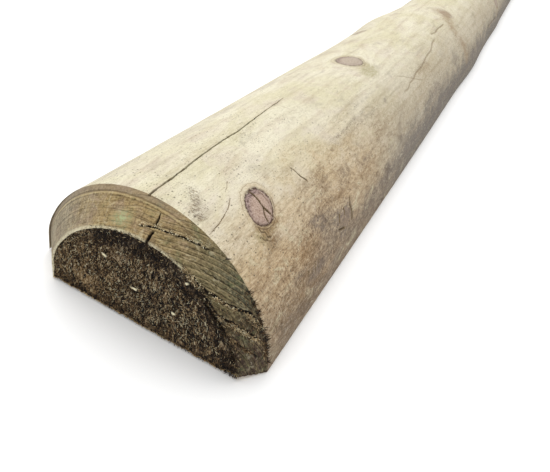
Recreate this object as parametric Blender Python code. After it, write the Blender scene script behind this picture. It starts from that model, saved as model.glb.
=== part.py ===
"""Half-round log: a peeled softwood pole, turned round, chamfered at both ends and sawn in two along its length.

Metres, +Z up. The sawn face lies on z = 0, the log runs along Y with its near end at -Y, and the origin is
the middle of the log's base. An angle round the log starts at its +X edge and passes over the crown at 90 degrees.
"""

import math
from dataclasses import dataclass

import bmesh
import bpy
from mathutils import Matrix, Vector, noise

LOG_NAME = "half_round_log"

# The turned pole
LENGTH = 1.200
RADIUS = 0.050
SAW_LOSS = 0.0034  # half of the saw cut, which each half of the pole loses
BOW = 0.0061  # how far the middle has dried out of line, to +X
OUT_OF_ROUND = 0.0004
WAVE_ROUND = 0.045  # size of the soft waves left in the turned surface, round the pole and along it
WAVE_ALONG = 0.240

# The ends: the cutter that chamfers them runs a little off the pole's centre, and the crosscut is a little askew
END_RADIUS = 0.0401
END_OFF_CENTRE = Vector((0.0028, 0.0, 0.0007))
CHAMFER_LENGTH = 0.0109
CROSSCUT_SKEW = 0.036  # metres along the log for each metre across it
CHAMFER_SKEW = 0.065

EDGE_ROUND = 0.0013  # the worn edges of the sawn face
EDGE_STEPS = 3

# How finely the solid is divided
SEGMENTS = 72
END_RINGS = 3
ROW_PITCH = 0.018
FINE_PITCH = 0.006
FINE_REACH = 0.014  # rows are fine this far on both sides of a knot

WOOD_COLOUR = (0.66, 0.56, 0.40, 1.0)
WOOD_ROUGHNESS = 0.85


@dataclass(frozen=True)
class Knot:
    """A branch base, turned flush, that stands up as the wood round it shrinks."""

    along: float  # from the near end
    angle: float
    radius: float
    rise: float


@dataclass(frozen=True)
class Swelling:
    """A low hump where branches grew close together, or with a negative rise a hollow beside one."""

    along: float
    angle: float
    reach_along: float
    reach_round: float
    rise: float


@dataclass(frozen=True)
class Check:
    """A drying crack: a narrow wedge that follows the grain. It opens through an end where it starts at one."""

    name: str
    start: float
    end: float
    angle_start: float
    angle_end: float
    width: float
    depth: float


KNOTS = (
    Knot(0.037, 61.0, 0.0080, 0.0006),
    Knot(0.085, 27.0, 0.0060, 0.0005),
    Knot(0.200, 94.0, 0.0095, 0.0007),
    Knot(0.292, 121.0, 0.0060, 0.0009),
    Knot(0.412, 74.0, 0.0090, 0.0008),
    Knot(0.362, 150.0, 0.0085, 0.0007),
    Knot(0.655, 40.0, 0.0080, 0.0007),
    Knot(0.668, 112.0, 0.0095, 0.0008),
    Knot(0.905, 78.0, 0.0085, 0.0007),
    Knot(0.918, 148.0, 0.0075, 0.0006),
    Knot(1.120, 52.0, 0.0080, 0.0007),
)

SWELLINGS = (
    Swelling(0.260, 138.0, 0.045, 0.035, -0.0006),
    Swelling(0.357, 136.0, 0.030, 0.035, 0.0018),
    Swelling(0.400, 60.0, 0.036, 0.050, 0.0007),
    Swelling(0.445, 8.0, 0.058, 0.045, 0.0020),
    Swelling(0.458, 138.0, 0.040, 0.035, -0.0011),
    Swelling(0.660, 80.0, 0.045, 0.120, 0.0011),
    Swelling(0.912, 110.0, 0.045, 0.110, 0.0010),
)

CHECKS = (
    Check("crown_check", 0.0090, 0.116, 93.0, 97.8, 0.0011, 0.010),
    Check("shoulder_check", 0.220, 0.365, 49.0, 61.5, 0.0009, 0.007),
    Check("whorl_check", 0.335, 0.386, 67.5, 66.0, 0.0010, 0.007),
    Check("back_check", 0.440, 0.860, 131.0, 142.0, 0.0016, 0.014),
    Check("far_check", 0.990, 1.210, 84.0, 90.0, 0.0016, 0.014),
)
CHECK_STATION = 0.015
CHECK_PROUD = 0.0015  # the cutter starts this far outside the log
CHECK_TIP = 0.22  # width of the wedge's inner edge, as a share of its mouth
CHECK_LEAST = 0.18  # width and depth at a closed end, as a share of the middle

# A radial crack in the near chamfer that stops short of the surface
END_CHECK_X = 0.0046
END_CHECK_WIDTH = 0.0010
END_CHECK_LOW = 0.0400
END_CHECK_HIGH = 0.0476
END_CHECK_DEEP = 0.014


def clear_scene():
    """Removes every object of the scene that the script starts in."""
    for obj in list(bpy.data.objects):
        bpy.data.objects.remove(obj, do_unlink=True)


def new_collection(name):
    """A new collection in the scene."""
    collection = bpy.data.collections.new(name)
    bpy.context.scene.collection.children.link(collection)
    return collection


def wood():
    """The log's material."""
    material = bpy.data.materials.new("weathered_wood")
    material.use_nodes = True
    shader = material.node_tree.nodes["Principled BSDF"]
    shader.inputs["Base Color"].default_value = WOOD_COLOUR
    shader.inputs["Roughness"].default_value = WOOD_ROUGHNESS
    shader.inputs["Metallic"].default_value = 0.0
    return material


def row_places():
    """Distances from the near end of the rows round the pole, close together beside each knot."""
    places = [CHAMFER_LENGTH]
    last = LENGTH - CHAMFER_LENGTH
    while places[-1] < last:
        here = places[-1]
        near_knot = any(abs(here + FINE_PITCH - knot.along) < FINE_REACH for knot in KNOTS)
        places.append(here + (FINE_PITCH if near_knot else ROW_PITCH))
    places[-1] = last
    if places[-1] - places[-2] < FINE_PITCH / 2:
        places.pop(-2)
    return places


def pole_profile():
    """The half profile that is turned into the pole, as pairs of radius and distance from the near end."""
    rings = [END_RADIUS * ring / END_RINGS for ring in range(END_RINGS + 1)]
    near = [(radius, 0.0) for radius in rings]
    side = [(RADIUS, place) for place in row_places()]
    far = [(radius, LENGTH) for radius in reversed(rings)]
    return near + side + far


def turn_pole(mesh):
    """Spins the profile once round Y. The first and last points lie on the axis and become the two poles."""
    points = [mesh.verts.new((radius, along, 0.0)) for radius, along in pole_profile()]
    edges = [mesh.edges.new(pair) for pair in zip(points, points[1:])]
    bmesh.ops.spin(
        mesh,
        geom=points + edges,
        cent=(0.0, 0.0, 0.0),
        axis=(0.0, 1.0, 0.0),
        angle=2 * math.pi,
        steps=SEGMENTS,
        use_merge=True,
    )
    bmesh.ops.remove_doubles(mesh, verts=mesh.verts[:], dist=1e-6)
    bmesh.ops.recalc_face_normals(mesh, faces=mesh.faces[:])


def arc_between(angle, other):
    """The distance round the pole between two angles in degrees."""
    turn = (angle - other + 180.0) % 360.0 - 180.0
    return math.radians(turn) * RADIUS


def rise_at(along, angle):
    """How far the surface stands outside the pole's radius at a place on it."""
    radians = math.radians(angle)
    place = Vector((
        math.cos(radians) * RADIUS / WAVE_ROUND,
        along / WAVE_ALONG,
        math.sin(radians) * RADIUS / WAVE_ROUND,
    ))
    rise = OUT_OF_ROUND * noise.noise(place)
    for knot in KNOTS:
        away = math.hypot(along - knot.along, arc_between(angle, knot.angle)) / knot.radius
        rise += knot.rise * math.exp(-(away**2))
    for hump in SWELLINGS:
        away_along = (along - hump.along) / hump.reach_along
        away_round = arc_between(angle, hump.angle) / hump.reach_round
        rise += hump.rise * math.exp(-(away_along**2) - away_round**2)
    return rise


def bow_at(along):
    """How far the pole's centre line lies to +X at a distance from the near end."""
    share = along / LENGTH
    return 4 * BOW * share * (1 - share)


def shape_end(point, along, radius):
    """Moves a point of an end onto the off-centre chamfer and the skewed crosscut."""
    inward = min(1.0, (RADIUS - radius) / (RADIUS - END_RADIUS))
    skew = CHAMFER_SKEW + (CROSSCUT_SKEW - CHAMFER_SKEW) * inward
    near = along < LENGTH / 2
    side = 1.0 if near else -1.0
    shifted = point + END_OFF_CENTRE * inward * side
    shifted.y -= side * skew * shifted.x
    return shifted


def shape_pole(mesh):
    """Gives the turned pole its ends, knots, swellings and bow."""
    for vert in mesh.verts:
        along = vert.co.y
        radius = math.hypot(vert.co.x, vert.co.z)
        angle = math.degrees(math.atan2(vert.co.z, vert.co.x))
        point = vert.co.copy()
        if radius > END_RADIUS * 1.01:
            point.x *= 1 + rise_at(along, angle) / radius
            point.z *= 1 + rise_at(along, angle) / radius
        if along < CHAMFER_LENGTH * 1.01 or along > LENGTH - CHAMFER_LENGTH * 1.01:
            point = shape_end(point, along, radius)
        point.x += bow_at(along)
        vert.co = point


def saw_in_half(mesh):
    """Keeps the pole above the saw cut, closes the sawn face and rounds its two long edges."""
    bmesh.ops.bisect_plane(
        mesh,
        geom=mesh.verts[:] + mesh.edges[:] + mesh.faces[:],
        dist=1e-6,
        plane_co=(0.0, 0.0, SAW_LOSS),
        plane_no=(0.0, 0.0, 1.0),
        clear_inner=True,
    )
    open_edges = [edge for edge in mesh.edges if edge.is_boundary]
    bmesh.ops.holes_fill(mesh, edges=open_edges, sides=0)
    bmesh.ops.recalc_face_normals(mesh, faces=mesh.faces[:])
    long_edges = [edge for edge in open_edges if runs_along(edge)]
    bmesh.ops.bevel(
        mesh,
        geom=long_edges,
        offset=EDGE_ROUND,
        segments=EDGE_STEPS,
        profile=0.5,
        affect="EDGES",
        clamp_overlap=True,
        material=-1,
    )


def runs_along(edge):
    """Whether an edge of the sawn face is one of its long sides, chamfers included."""
    step = edge.verts[1].co - edge.verts[0].co
    outside = min(abs(vert.co.x) for vert in edge.verts) > END_RADIUS * 0.8
    return outside and abs(step.y) > abs(step.x) * 0.5


def add_log(collection):
    """The solid log, without its cracks, standing on its sawn face with its box centred on the origin."""
    mesh = bmesh.new()
    turn_pole(mesh)
    shape_pole(mesh)
    saw_in_half(mesh)
    mesh.transform(Matrix.Translation(log_origin()))
    data = bpy.data.meshes.new(LOG_NAME)
    mesh.to_mesh(data)
    mesh.free()
    log = bpy.data.objects.new(LOG_NAME, data)
    collection.objects.link(log)
    data.materials.append(wood())
    return log


def log_origin():
    """The shift from the turned pole's frame to the log's: the bow's box is centred and the base is on z = 0."""
    return Vector((-BOW / 2, -LENGTH / 2, -SAW_LOSS))


def opening_at(check, share):
    """How open a crack is at a share of its length, from 0 to 1. An end that leaves the log stays open."""
    opens_near = check.start < CHAMFER_LENGTH
    opens_far = check.end > LENGTH
    if opens_near:
        openness = math.cos(share * math.pi / 2)
    elif opens_far:
        openness = math.sin(share * math.pi / 2)
    else:
        openness = math.sin(share * math.pi)
    return CHECK_LEAST + (1 - CHECK_LEAST) * openness**0.7


def check_point(check, share, across, depth_share):
    """A point of a crack's cutter: a share of its length, -0.5 to 0.5 across it, and 0 outside to 1 at its tip."""
    open_share = opening_at(check, share)
    along = check.start + (check.end - check.start) * share
    narrowing = 1 - (1 - CHECK_TIP) * depth_share
    middle = math.radians(check.angle_start + (check.angle_end - check.angle_start) * share)
    angle = middle + across * check.width * open_share * narrowing / RADIUS
    outside = RADIUS + CHECK_PROUD + rise_at(along, math.degrees(middle))
    radius = outside - depth_share * (check.depth * open_share + CHECK_PROUD)
    point = Vector((math.cos(angle) * radius + bow_at(along), along, math.sin(angle) * radius))
    return point + log_origin()


def add_cutter(name, collection, mesh):
    """A hidden cutter object from a mesh that is being edited."""
    data = bpy.data.meshes.new(name)
    mesh.to_mesh(data)
    mesh.free()
    cutter = bpy.data.objects.new(name, data)
    collection.objects.link(cutter)
    cutter.hide_render = True
    cutter.display_type = "WIRE"
    return cutter


def add_check_cutter(check, collection):
    """The wedge that opens one crack: a cube divided along Y and bent onto the log."""
    mesh = bmesh.new()
    bmesh.ops.create_cube(mesh, size=1.0)
    long_edges = [edge for edge in mesh.edges if abs(edge.verts[0].co.y - edge.verts[1].co.y) > 0.5]
    stations = max(2, round((check.end - check.start) / CHECK_STATION))
    bmesh.ops.subdivide_edges(mesh, edges=long_edges, cuts=stations - 1, use_grid_fill=True)
    for vert in mesh.verts:
        x, y, z = vert.co
        vert.co = check_point(check, y + 0.5, -x, 0.5 - z)
    return add_cutter(check.name, collection, mesh)


def add_end_check_cutter(collection):
    """The slot of the radial crack in the near chamfer, tapered towards its top."""
    mesh = bmesh.new()
    bmesh.ops.create_cube(mesh, size=1.0)
    height = END_CHECK_HIGH - END_CHECK_LOW
    middle = Vector((END_CHECK_X, END_CHECK_DEEP / 2, (END_CHECK_HIGH + END_CHECK_LOW) / 2))
    for vert in mesh.verts:
        taper = 1.0 if vert.co.z < 0 else CHECK_LEAST
        size = Vector((END_CHECK_WIDTH * taper, END_CHECK_DEEP * 1.4, height))
        vert.co = middle + vert.co * size + log_origin()
    return add_cutter("end_check", collection, mesh)


def cut(log, cutter):
    """Takes a cutter's shape out of the log."""
    modifier = log.modifiers.new(cutter.name, "BOOLEAN")
    modifier.operation = "DIFFERENCE"
    modifier.solver = "EXACT"
    modifier.object = cutter


def main():
    """Builds the log and opens its cracks."""
    clear_scene()
    log_parts = new_collection("half_round_log_parts")
    cutters = new_collection("cutters")
    log = add_log(log_parts)
    for check in CHECKS:
        cut(log, add_check_cutter(check, cutters))
    cut(log, add_end_check_cutter(cutters))
    log.data.shade_smooth()
    log.data.set_sharp_from_angle(angle=math.radians(30))


main()
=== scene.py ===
"""The looks of the half-round log, in a plain pale studio.

A finer mesh of the same turned, bowed and sawn pole stands for the solid, with its knots, drying cracks,
torn ends and weathered faces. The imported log's frame is kept: the sawn face on z = 0, the log along Y, its
near end at -Y. Shapes are worked out in millimetres on the pole, whose centre line is Y and whose near end
is 0, and are written to the mesh in metres. A place on the side is an angle, 0 at +X and 90 at the crown,
with a distance from the near end. A place on an end is an angle and a distance from the pole's centre.
"""

import logging
import math
from dataclasses import dataclass, field
from enum import Enum
from functools import cache

import bmesh
import bpy
import numpy as np
from mathutils import Matrix, Vector, noise


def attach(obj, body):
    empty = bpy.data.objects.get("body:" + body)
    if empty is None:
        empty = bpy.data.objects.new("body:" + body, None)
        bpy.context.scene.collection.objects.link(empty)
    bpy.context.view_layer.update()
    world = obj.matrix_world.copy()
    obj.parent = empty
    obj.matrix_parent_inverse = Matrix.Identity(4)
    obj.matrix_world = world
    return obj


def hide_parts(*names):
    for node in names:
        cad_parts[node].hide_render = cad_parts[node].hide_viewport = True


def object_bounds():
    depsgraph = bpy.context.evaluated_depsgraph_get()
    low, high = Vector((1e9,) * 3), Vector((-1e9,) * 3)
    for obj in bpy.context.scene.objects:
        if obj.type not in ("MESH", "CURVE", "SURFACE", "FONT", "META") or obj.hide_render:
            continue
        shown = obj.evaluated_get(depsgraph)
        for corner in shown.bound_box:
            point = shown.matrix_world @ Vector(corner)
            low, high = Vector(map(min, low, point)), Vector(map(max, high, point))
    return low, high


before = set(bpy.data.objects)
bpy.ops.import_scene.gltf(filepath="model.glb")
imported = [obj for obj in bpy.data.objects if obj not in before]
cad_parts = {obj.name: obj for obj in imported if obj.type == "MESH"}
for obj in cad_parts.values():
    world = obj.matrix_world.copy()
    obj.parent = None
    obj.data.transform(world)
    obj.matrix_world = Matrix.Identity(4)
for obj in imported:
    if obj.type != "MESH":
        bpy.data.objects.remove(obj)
CAD_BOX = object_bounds()

LOG_NODE = "half_round_log"
MM = 0.001
BOX_GAP = 0.00004  # how far the finished piece stays inside the solid's box

Triple = tuple[float, float, float]
Colour = Triple

log = logging.getLogger("half_round_log")


class Zone(Enum):
    """The kinds of surface on the log, in the order of its material slots."""

    SIDE = 0
    CHAMFER = 1
    END = 2
    SAWN = 3


class StainKind(Enum):
    """The colours that weather has left on the wood."""

    GREY = "grey_stain"
    BROWN = "brown_stain"
    GREEN = "green_stain"


FLAT_FACING = 0.95  # how squarely a face of the crosscut or of the sawn face looks out
SLANT_FACING = 0.3  # and at least how far a face of a chamfer does


@dataclass(frozen=True)
class Knot:
    """A branch base, turned flush.

    Its rise is how far it stands up, and its stretch is its length along the log over its width. Its tone
    runs from 0, pink and sound, to 1, dark brown. Its show is how clearly it stands out from the wood round
    it, and its lean is how far it slants to +angle on its way along.
    """

    along: float
    angle: float
    radius: float
    rise: float
    stretch: float = 1.25
    tone: float = 0.3
    show: float = 0.8
    lean: float = 0.0


@dataclass(frozen=True)
class Swelling:
    """A low hump where branches grew close together, or with a negative rise a hollow beside one."""

    along: float
    angle: float
    reach_along: float
    reach_round: float
    rise: float


@dataclass(frozen=True)
class Crack:
    """A crack along a path of places, each an angle and a distance, with a width at each end."""

    path: tuple[tuple[float, float], ...]
    width_start: float
    width_end: float
    depth: float
    dark: float = 1.0
    pitch: float = 0.3


@dataclass(frozen=True)
class FlakeRow:
    """Torn flakes along a path on the near chamfer.

    The offset moves them outward from the path, in millimetres, and the tint is the range of their shades.
    """

    path: tuple[tuple[float, float], ...]
    count: int
    offset: float
    tint: tuple[float, float]


@dataclass(frozen=True)
class Stain:
    """A soft-edged patch of colour on the side."""

    angle: float
    along: float
    reach_round: float
    reach_along: float
    strength: float


KNOTS = (
    Knot(37, 61.2, 6.4, 0.6, 1.14, 0.1, 1, 0.3),
    Knot(85, 27, 4.2, 0.5, 1.3, 0.8, 0.3),
    Knot(199.4, 92.9, 7.4, 0.7, 1.3, 0.42, 0.82, -0.1),
    Knot(292, 121, 5, 0.9, 1.2, 0.6, 0.6),
    Knot(414, 73.6, 6.6, 0.8, 1.5, 0.8, 0.3),
    Knot(362, 150, 7, 0.7, 1.3, 0.7),
    Knot(655, 40, 7, 0.7, 1.3, 0.4),
    Knot(668, 112, 8.2, 0.8, 1.2, 0.6),
    Knot(905, 78, 7.4, 0.7, 1.25, 0.3),
    Knot(918, 148, 6.6, 0.6, 1.3, 0.8),
    Knot(1120, 52, 7, 0.7, 1.2, 0.5),
)
KNOT_HUMP = 1.3  # a knot's hump reaches this many of its radii

SWELLINGS = (
    Swelling(260, 138, 45, 35, -0.6),
    Swelling(357, 136, 30, 35, 1.8),
    Swelling(400, 60, 36, 50, 0.7),
    Swelling(445, 8, 58, 45, 2),
    Swelling(458, 138, 40, 35, -1.1),
    Swelling(660, 80, 45, 120, 1.1),
    Swelling(912, 110, 45, 110, 1),
)

SIDE_CRACKS = (
    Crack(
        ((92.8, 6), (93.6, 27), (95, 42), (95.7, 59), (95.3, 71), (96.6, 92), (97.6, 117)),
        0.62, 0.24, 4, 0.75,
    ),
    Crack(((68.8, 39.1), (64, 38.9), (60.2, 37.9), (55, 38.8)), 0.7, 0.7, 1.2),
    Crack(((60.2, 37.9), (57.8, 35.8), (54, 34.8)), 0.5, 0.6, 0.9),
    Crack(((66, 43), (61, 42.3), (56.5, 40.6)), 0.3, 0.35, 0.4, 0.5),
    Crack(((55.8, 29.2), (53.6, 28.9), (52.2, 30.3), (50.4, 30), (49.4, 32.2)), 0.5, 0.45, 0.3, 0.85),
    Crack(((52.8, 27.2), (50.6, 27.8), (49.2, 29.6)), 0.4, 0.4, 0.3, 0.7),
    Crack(((25, 44.2), (21.2, 42.6)), 0.4, 0.5, 0.4, 0.55),
    Crack(((24.8, 47), (20.6, 45.9)), 0.5, 0.4, 0.4, 0.6),
    Crack(((24.2, 50.3), (19.8, 49.4)), 0.5, 0.4, 0.4, 0.6),
    Crack(((23.8, 53.2), (19.6, 52.5)), 0.4, 0.4, 0.4, 0.5),
    Crack(((24.6, 39.8), (21.4, 38.2)), 0.4, 0.5, 0.4, 0.55),
    Crack(((59.3, 37), (56.6, 38.4)), 0.25, 0.3, 0.5, 0.7),
    Crack(((65.6, 10.5), (67, 19), (68.6, 25), (71.3, 30)), 0.35, 0.25, 0.4, 0.65),
    Crack(((65, 67.4), (62, 68.4), (58.8, 68.3), (54.4, 70.4)), 0.35, 0.6, 0.8, 0.8),
    Crack(((33.4, 94.6), (29.6, 92.2), (26, 92.8), (21.4, 91.4)), 0.7, 1.5, 0.9, 0.9),
    Crack(((31.9, 85.4), (28.4, 84)), 0.9, 0.8, 0.7, 0.85),
    Crack(((31.2, 79.9), (27.6, 78)), 0.9, 0.8, 0.7, 0.85),
    Crack(((24.8, 76), (22.4, 82.6)), 0.8, 1, 0.6, 0.85),
    Crack(((77.3, 36.5), (75.4, 33), (74.4, 30.6)), 0.3, 0.25, 0.3, 0.45),
    Crack(((49.7, 208), (50.8, 214), (50.3, 221), (52.2, 229), (52.3, 238), (54.2, 250),
           (54.6, 268), (57.2, 286), (58.2, 305), (62, 321), (64, 339)),
          1.1, 1.7, 0.25, 0.29, 0.5),
    Crack(((63, 217), (59, 227), (56.4, 231), (53, 238.5), (50.4, 244), (46, 255)),
          1, 1.2, 0.2, 0.26, 0.5),
    Crack(((68.6, 333), (67, 345), (67.9, 360), (67.2, 384)), 1.7, 1.5, 0.4, 0.32, 0.6),
    Crack(((131, 440), (133.8, 560), (136.6, 680), (139.5, 780), (142, 860)),
          1.5, 1.3, 6, 0.9, 0.6),
    Crack(((84, 990), (86.6, 1080), (88.6, 1150), (90, 1200)), 0.5, 1.6, 7, 0.9, 0.55),
    Crack(((148, 60), (149.4, 104), (150.2, 152)), 0.5, 0.35, 1, 0.7, 0.45),
    Crack(((118, 700), (119, 742), (121, 792)), 0.4, 0.4, 0.9, 0.7, 0.6),
    Crack(((24, 560), (23, 625), (25, 688)), 0.5, 0.4, 1, 0.8, 0.6),
    Crack(((62, 735), (63.5, 800), (63, 866)), 0.4, 0.4, 0.9, 0.7, 0.6),
    Crack(((36, 955), (35, 1010), (37, 1074)), 0.5, 0.5, 1.1, 0.8, 0.6),
    Crack(((160, 985), (159, 1060), (160, 1130)), 0.6, 0.4, 1.2, 0.8, 0.6),
)

NEAR_END_CRACKS = (
    Crack(((84.9, 47.6), (84.3, 45.9), (83.8, 44.6)), 0.35, 0.7, 2),
    Crack(((83.4, 43.8), (83.3, 41.5), (82.9, 39.6)), 0.9, 1, 3),
    Crack(((82.4, 38.4), (81.8, 35.6)), 0.9, 0.5, 1.5),
    Crack(((90.5, 43.4), (86.5, 44.2), (82.8, 44.8), (78.4, 45.4), (73, 46.3), (67.8, 47.3), (60.9, 48.5)),
          0.4, 0.3, 0.9, 0.95, 0.25),
    Crack(((66, 42.6), (58, 42.6), (52.2, 42.9), (44.4, 44.5), (37.2, 46.5), (34, 48), (25, 50)),
          0.4, 0.8, 0.8, 1, 0.25),
    Crack(((42, 41.9), (36.6, 43.5), (31, 45.1), (21.8, 48.2)), 0.6, 0.8, 0.9, 1, 0.25),
    Crack(((30, 42.6), (20, 45.4), (13, 47.9)), 0.4, 0.4, 0.6, 0.9),
    Crack(((60, 44.6), (52, 46), (46, 47.6)), 0.2, 0.2, 0.4, 0.6),
)

FAR_END_CRACKS = (
    Crack(((90, 50), (90.6, 44), (91.6, 34)), 1.6, 0.3, 5, 1, 0.6),
    Crack(((40, 47), (43, 36), (50, 24)), 0.6, 0.2, 1.2, 0.8, 0.7),
    Crack(((140, 46), (136, 34)), 0.5, 0.2, 1.2, 0.8, 0.7),
)

FLAKE_ROWS = (
    FlakeRow(NEAR_END_CRACKS[3].path, 230, 0.3, (0.8, 1)),
    FlakeRow(NEAR_END_CRACKS[4].path, 640, -0.35, (0.45, 1)),
    FlakeRow(NEAR_END_CRACKS[5].path, 460, -0.35, (0.4, 1)),
    FlakeRow(NEAR_END_CRACKS[6].path, 220, -0.25, (0.1, 0.75)),
    FlakeRow(((34, 47.2), (28, 48.3), (20, 48.9), (12, 49.2)), 260, 0, (0.05, 0.75)),
    FlakeRow(((50, 41.3), (40, 41.2), (30, 41.4)), 140, 0, (0.3, 1)),
)

# In each row: the angle, the place along the log, the reach round it and along it, and the strength
STAIN_ROWS = {
    StainKind.GREY: (
        (36, 66, 5, 10, 0.7), (24, 60, 8, 22, 0.4), (21.7, 81, 2.6, 3.6, 1),
        (30, 77, 3.5, 5, 0.6), (74.2, 13.9, 3.4, 3, 0.7), (78.6, 18.8, 3.2, 2.6, 0.55),
        (83, 22, 3, 2.6, 0.5), (73, 50.7, 4, 3, 0.3), (16, 112, 7, 34, 0.5),
        (44, 98, 5, 9, 0.45), (56, 181, 1.5, 2.2, 1), (60, 130, 1.9, 34, 0.5),
        (56, 156, 1.5, 30, 0.42), (66, 150, 1.7, 38, 0.4), (22, 163, 5, 20, 0.35),
        (40, 58, 2.6, 5, 0.5), (26.5, 91, 5, 3, 0.7), (31, 280, 6.5, 36, 0.7),
        (29, 86, 4.5, 9, 0.6), (20, 50, 3, 10, 0.7), (27, 36, 2.2, 7, 0.5),
        (40, 124, 2.4, 12, 0.5), (20, 200, 7, 40, 0.5), (14, 300, 8, 70, 0.6),
        (38.5, 357, 7, 16, 0.6), (51.6, 495, 3.4, 6, 0.7), (22, 455, 12, 55, 0.6),
        (128, 48, 10, 40, 0.22), (150, 130, 9, 60, 0.5), (138, 250, 2, 50, 0.6),
        (146, 480, 3, 60, 0.6), (166, 740, 8, 60, 0.6), (132, 960, 3, 70, 0.5),
        (158, 350, 8, 70, 0.55), (100, 600, 14, 60, 0.35), (30, 760, 12, 80, 0.5),
        (150, 820, 12, 90, 0.5), (60, 1010, 14, 70, 0.35), (25, 1120, 12, 70, 0.5),
    ),
    StainKind.BROWN: (
        (46, 163, 1.6, 18, 0.6), (22, 45, 4, 9, 0.7), (31, 57, 3, 7, 0.5),
        (38, 88, 3, 10, 0.5), (54, 80, 2.4, 8, 0.4), (164, 60, 9, 40, 0.6),
        (166, 260, 9, 70, 0.5), (162, 620, 10, 90, 0.5), (158, 1000, 10, 90, 0.5),
        (32.7, 49, 7, 9, 0.55), (19.9, 51, 6, 10, 0.7), (54.4, 29.6, 3, 1.8, 0.6),
        (50, 31.5, 3.2, 2.2, 0.7), (52.6, 37, 1.4, 5, 0.9), (40, 68, 5, 4, 0.5),
        (22.5, 41, 3, 5, 0.6), (25, 22, 22, 32, 0.42), (47, 76, 6, 7, 0.4),
        (34, 118, 5, 14, 0.45), (73.5, 416, 9, 12, 0.6), (84, 408, 7, 13, 0.5),
        (72, 400, 7, 13, 0.5), (61, 392, 7, 13, 0.5), (50, 391, 7, 13, 0.5),
        (39, 394, 7, 13, 0.5), (27, 400, 8, 12, 0.6), (53, 268, 5, 26, 0.4),
        (62, 350, 5, 30, 0.35), (40, 280, 14, 60, 0.25), (112, 668, 12, 14, 0.5),
        (40, 655, 12, 14, 0.5), (100, 912, 26, 9, 0.4), (140, 1170, 20, 30, 0.4),
    ),
    StainKind.GREEN: (
        (81.5, 203, 4.6, 6, 1), (78, 193, 4, 6, 1), (74, 200, 3, 9, 0.7),
        (52.6, 34, 2, 6, 0.9), (52, 28, 5, 5, 0.5), (96, 60, 8, 50, 0.3),
        (84, 104, 6, 14, 0.3), (121, 292, 8, 10, 0.5), (110, 160, 6, 24, 0.3),
        (150, 560, 14, 110, 0.35), (30, 900, 14, 90, 0.3),
    ),
}
STAINS = {kind: [Stain(*row) for row in rows] for kind, rows in STAIN_ROWS.items()}


def smoothstep(value: np.ndarray, low: float, high: float) -> np.ndarray:
    """Eases from 0 at low to 1 at high.

    Args:
        value: The values to ease.
        low: Where the result is 0.
        high: Where the result is 1. It may lie below low.

    Returns:
        The eased values.
    """
    share = np.clip((value - low) / (high - low), 0.0, 1.0)
    return share * share * (3.0 - 2.0 * share)


def fractal(points: np.ndarray, size: float | Triple, octaves: int, seed: float = 0.0) -> np.ndarray:
    """Fractal noise at each point, from about -1 to 1.

    Args:
        points: One row of coordinates for each point.
        size: The size of the largest features, or their size along each coordinate.
        octaves: How many times the noise is repeated at half the size.
        seed: A shift that makes one noise unlike another.

    Returns:
        One value for each point.
    """
    scaled = (points / np.array(size) + seed).tolist()
    return np.array([noise.fractal(place, 1.0, 2.0, octaves) for place in scaled])


def nearest_on_path(places: np.ndarray, path: np.ndarray) -> tuple[np.ndarray, np.ndarray, np.ndarray]:
    """How far each place is from a path.

    Args:
        places: Two coordinates for each place.
        path: Two coordinates for each point of the path.

    Returns:
        Each place's distance, the share of the path's length that lies before its nearest point, and the
        path's direction there.
    """
    steps = np.diff(path, axis=0)
    lengths = np.linalg.norm(steps, axis=1)
    before = np.concatenate([[0.0], np.cumsum(lengths)])
    best = np.full(len(places), 1e9)
    share = np.zeros(len(places))
    heading = np.zeros((len(places), 2))
    for start, step, length, walked in zip(path, steps, lengths, before):
        run = np.clip((places - start) @ step / length**2, 0.0, 1.0)
        away = np.linalg.norm(places - start - run[:, None] * step, axis=1)
        closer = away < best
        best[closer] = away[closer]
        share[closer] = (walked + run[closer] * length) / before[-1]
        heading[closer] = step / length
    return best, share, heading


def keep_mesh(name: str, mesh: bmesh.types.BMesh) -> bpy.types.Mesh:
    """Turns an edited mesh into one that an object can hold, and frees it.

    Args:
        name: The new mesh's name.
        mesh: The edited mesh.

    Returns:
        The new mesh.
    """
    data = bpy.data.meshes.new(name)
    mesh.to_mesh(data)
    mesh.free()
    return data


def add_object(name: str, data: bpy.types.ID) -> bpy.types.Object:
    """Makes an object and links it to the scene.

    Args:
        name: The object's name.
        data: Its mesh, light or camera.

    Returns:
        The object.
    """
    made = bpy.data.objects.new(name, data)
    bpy.context.scene.collection.objects.link(made)
    return made


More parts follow.
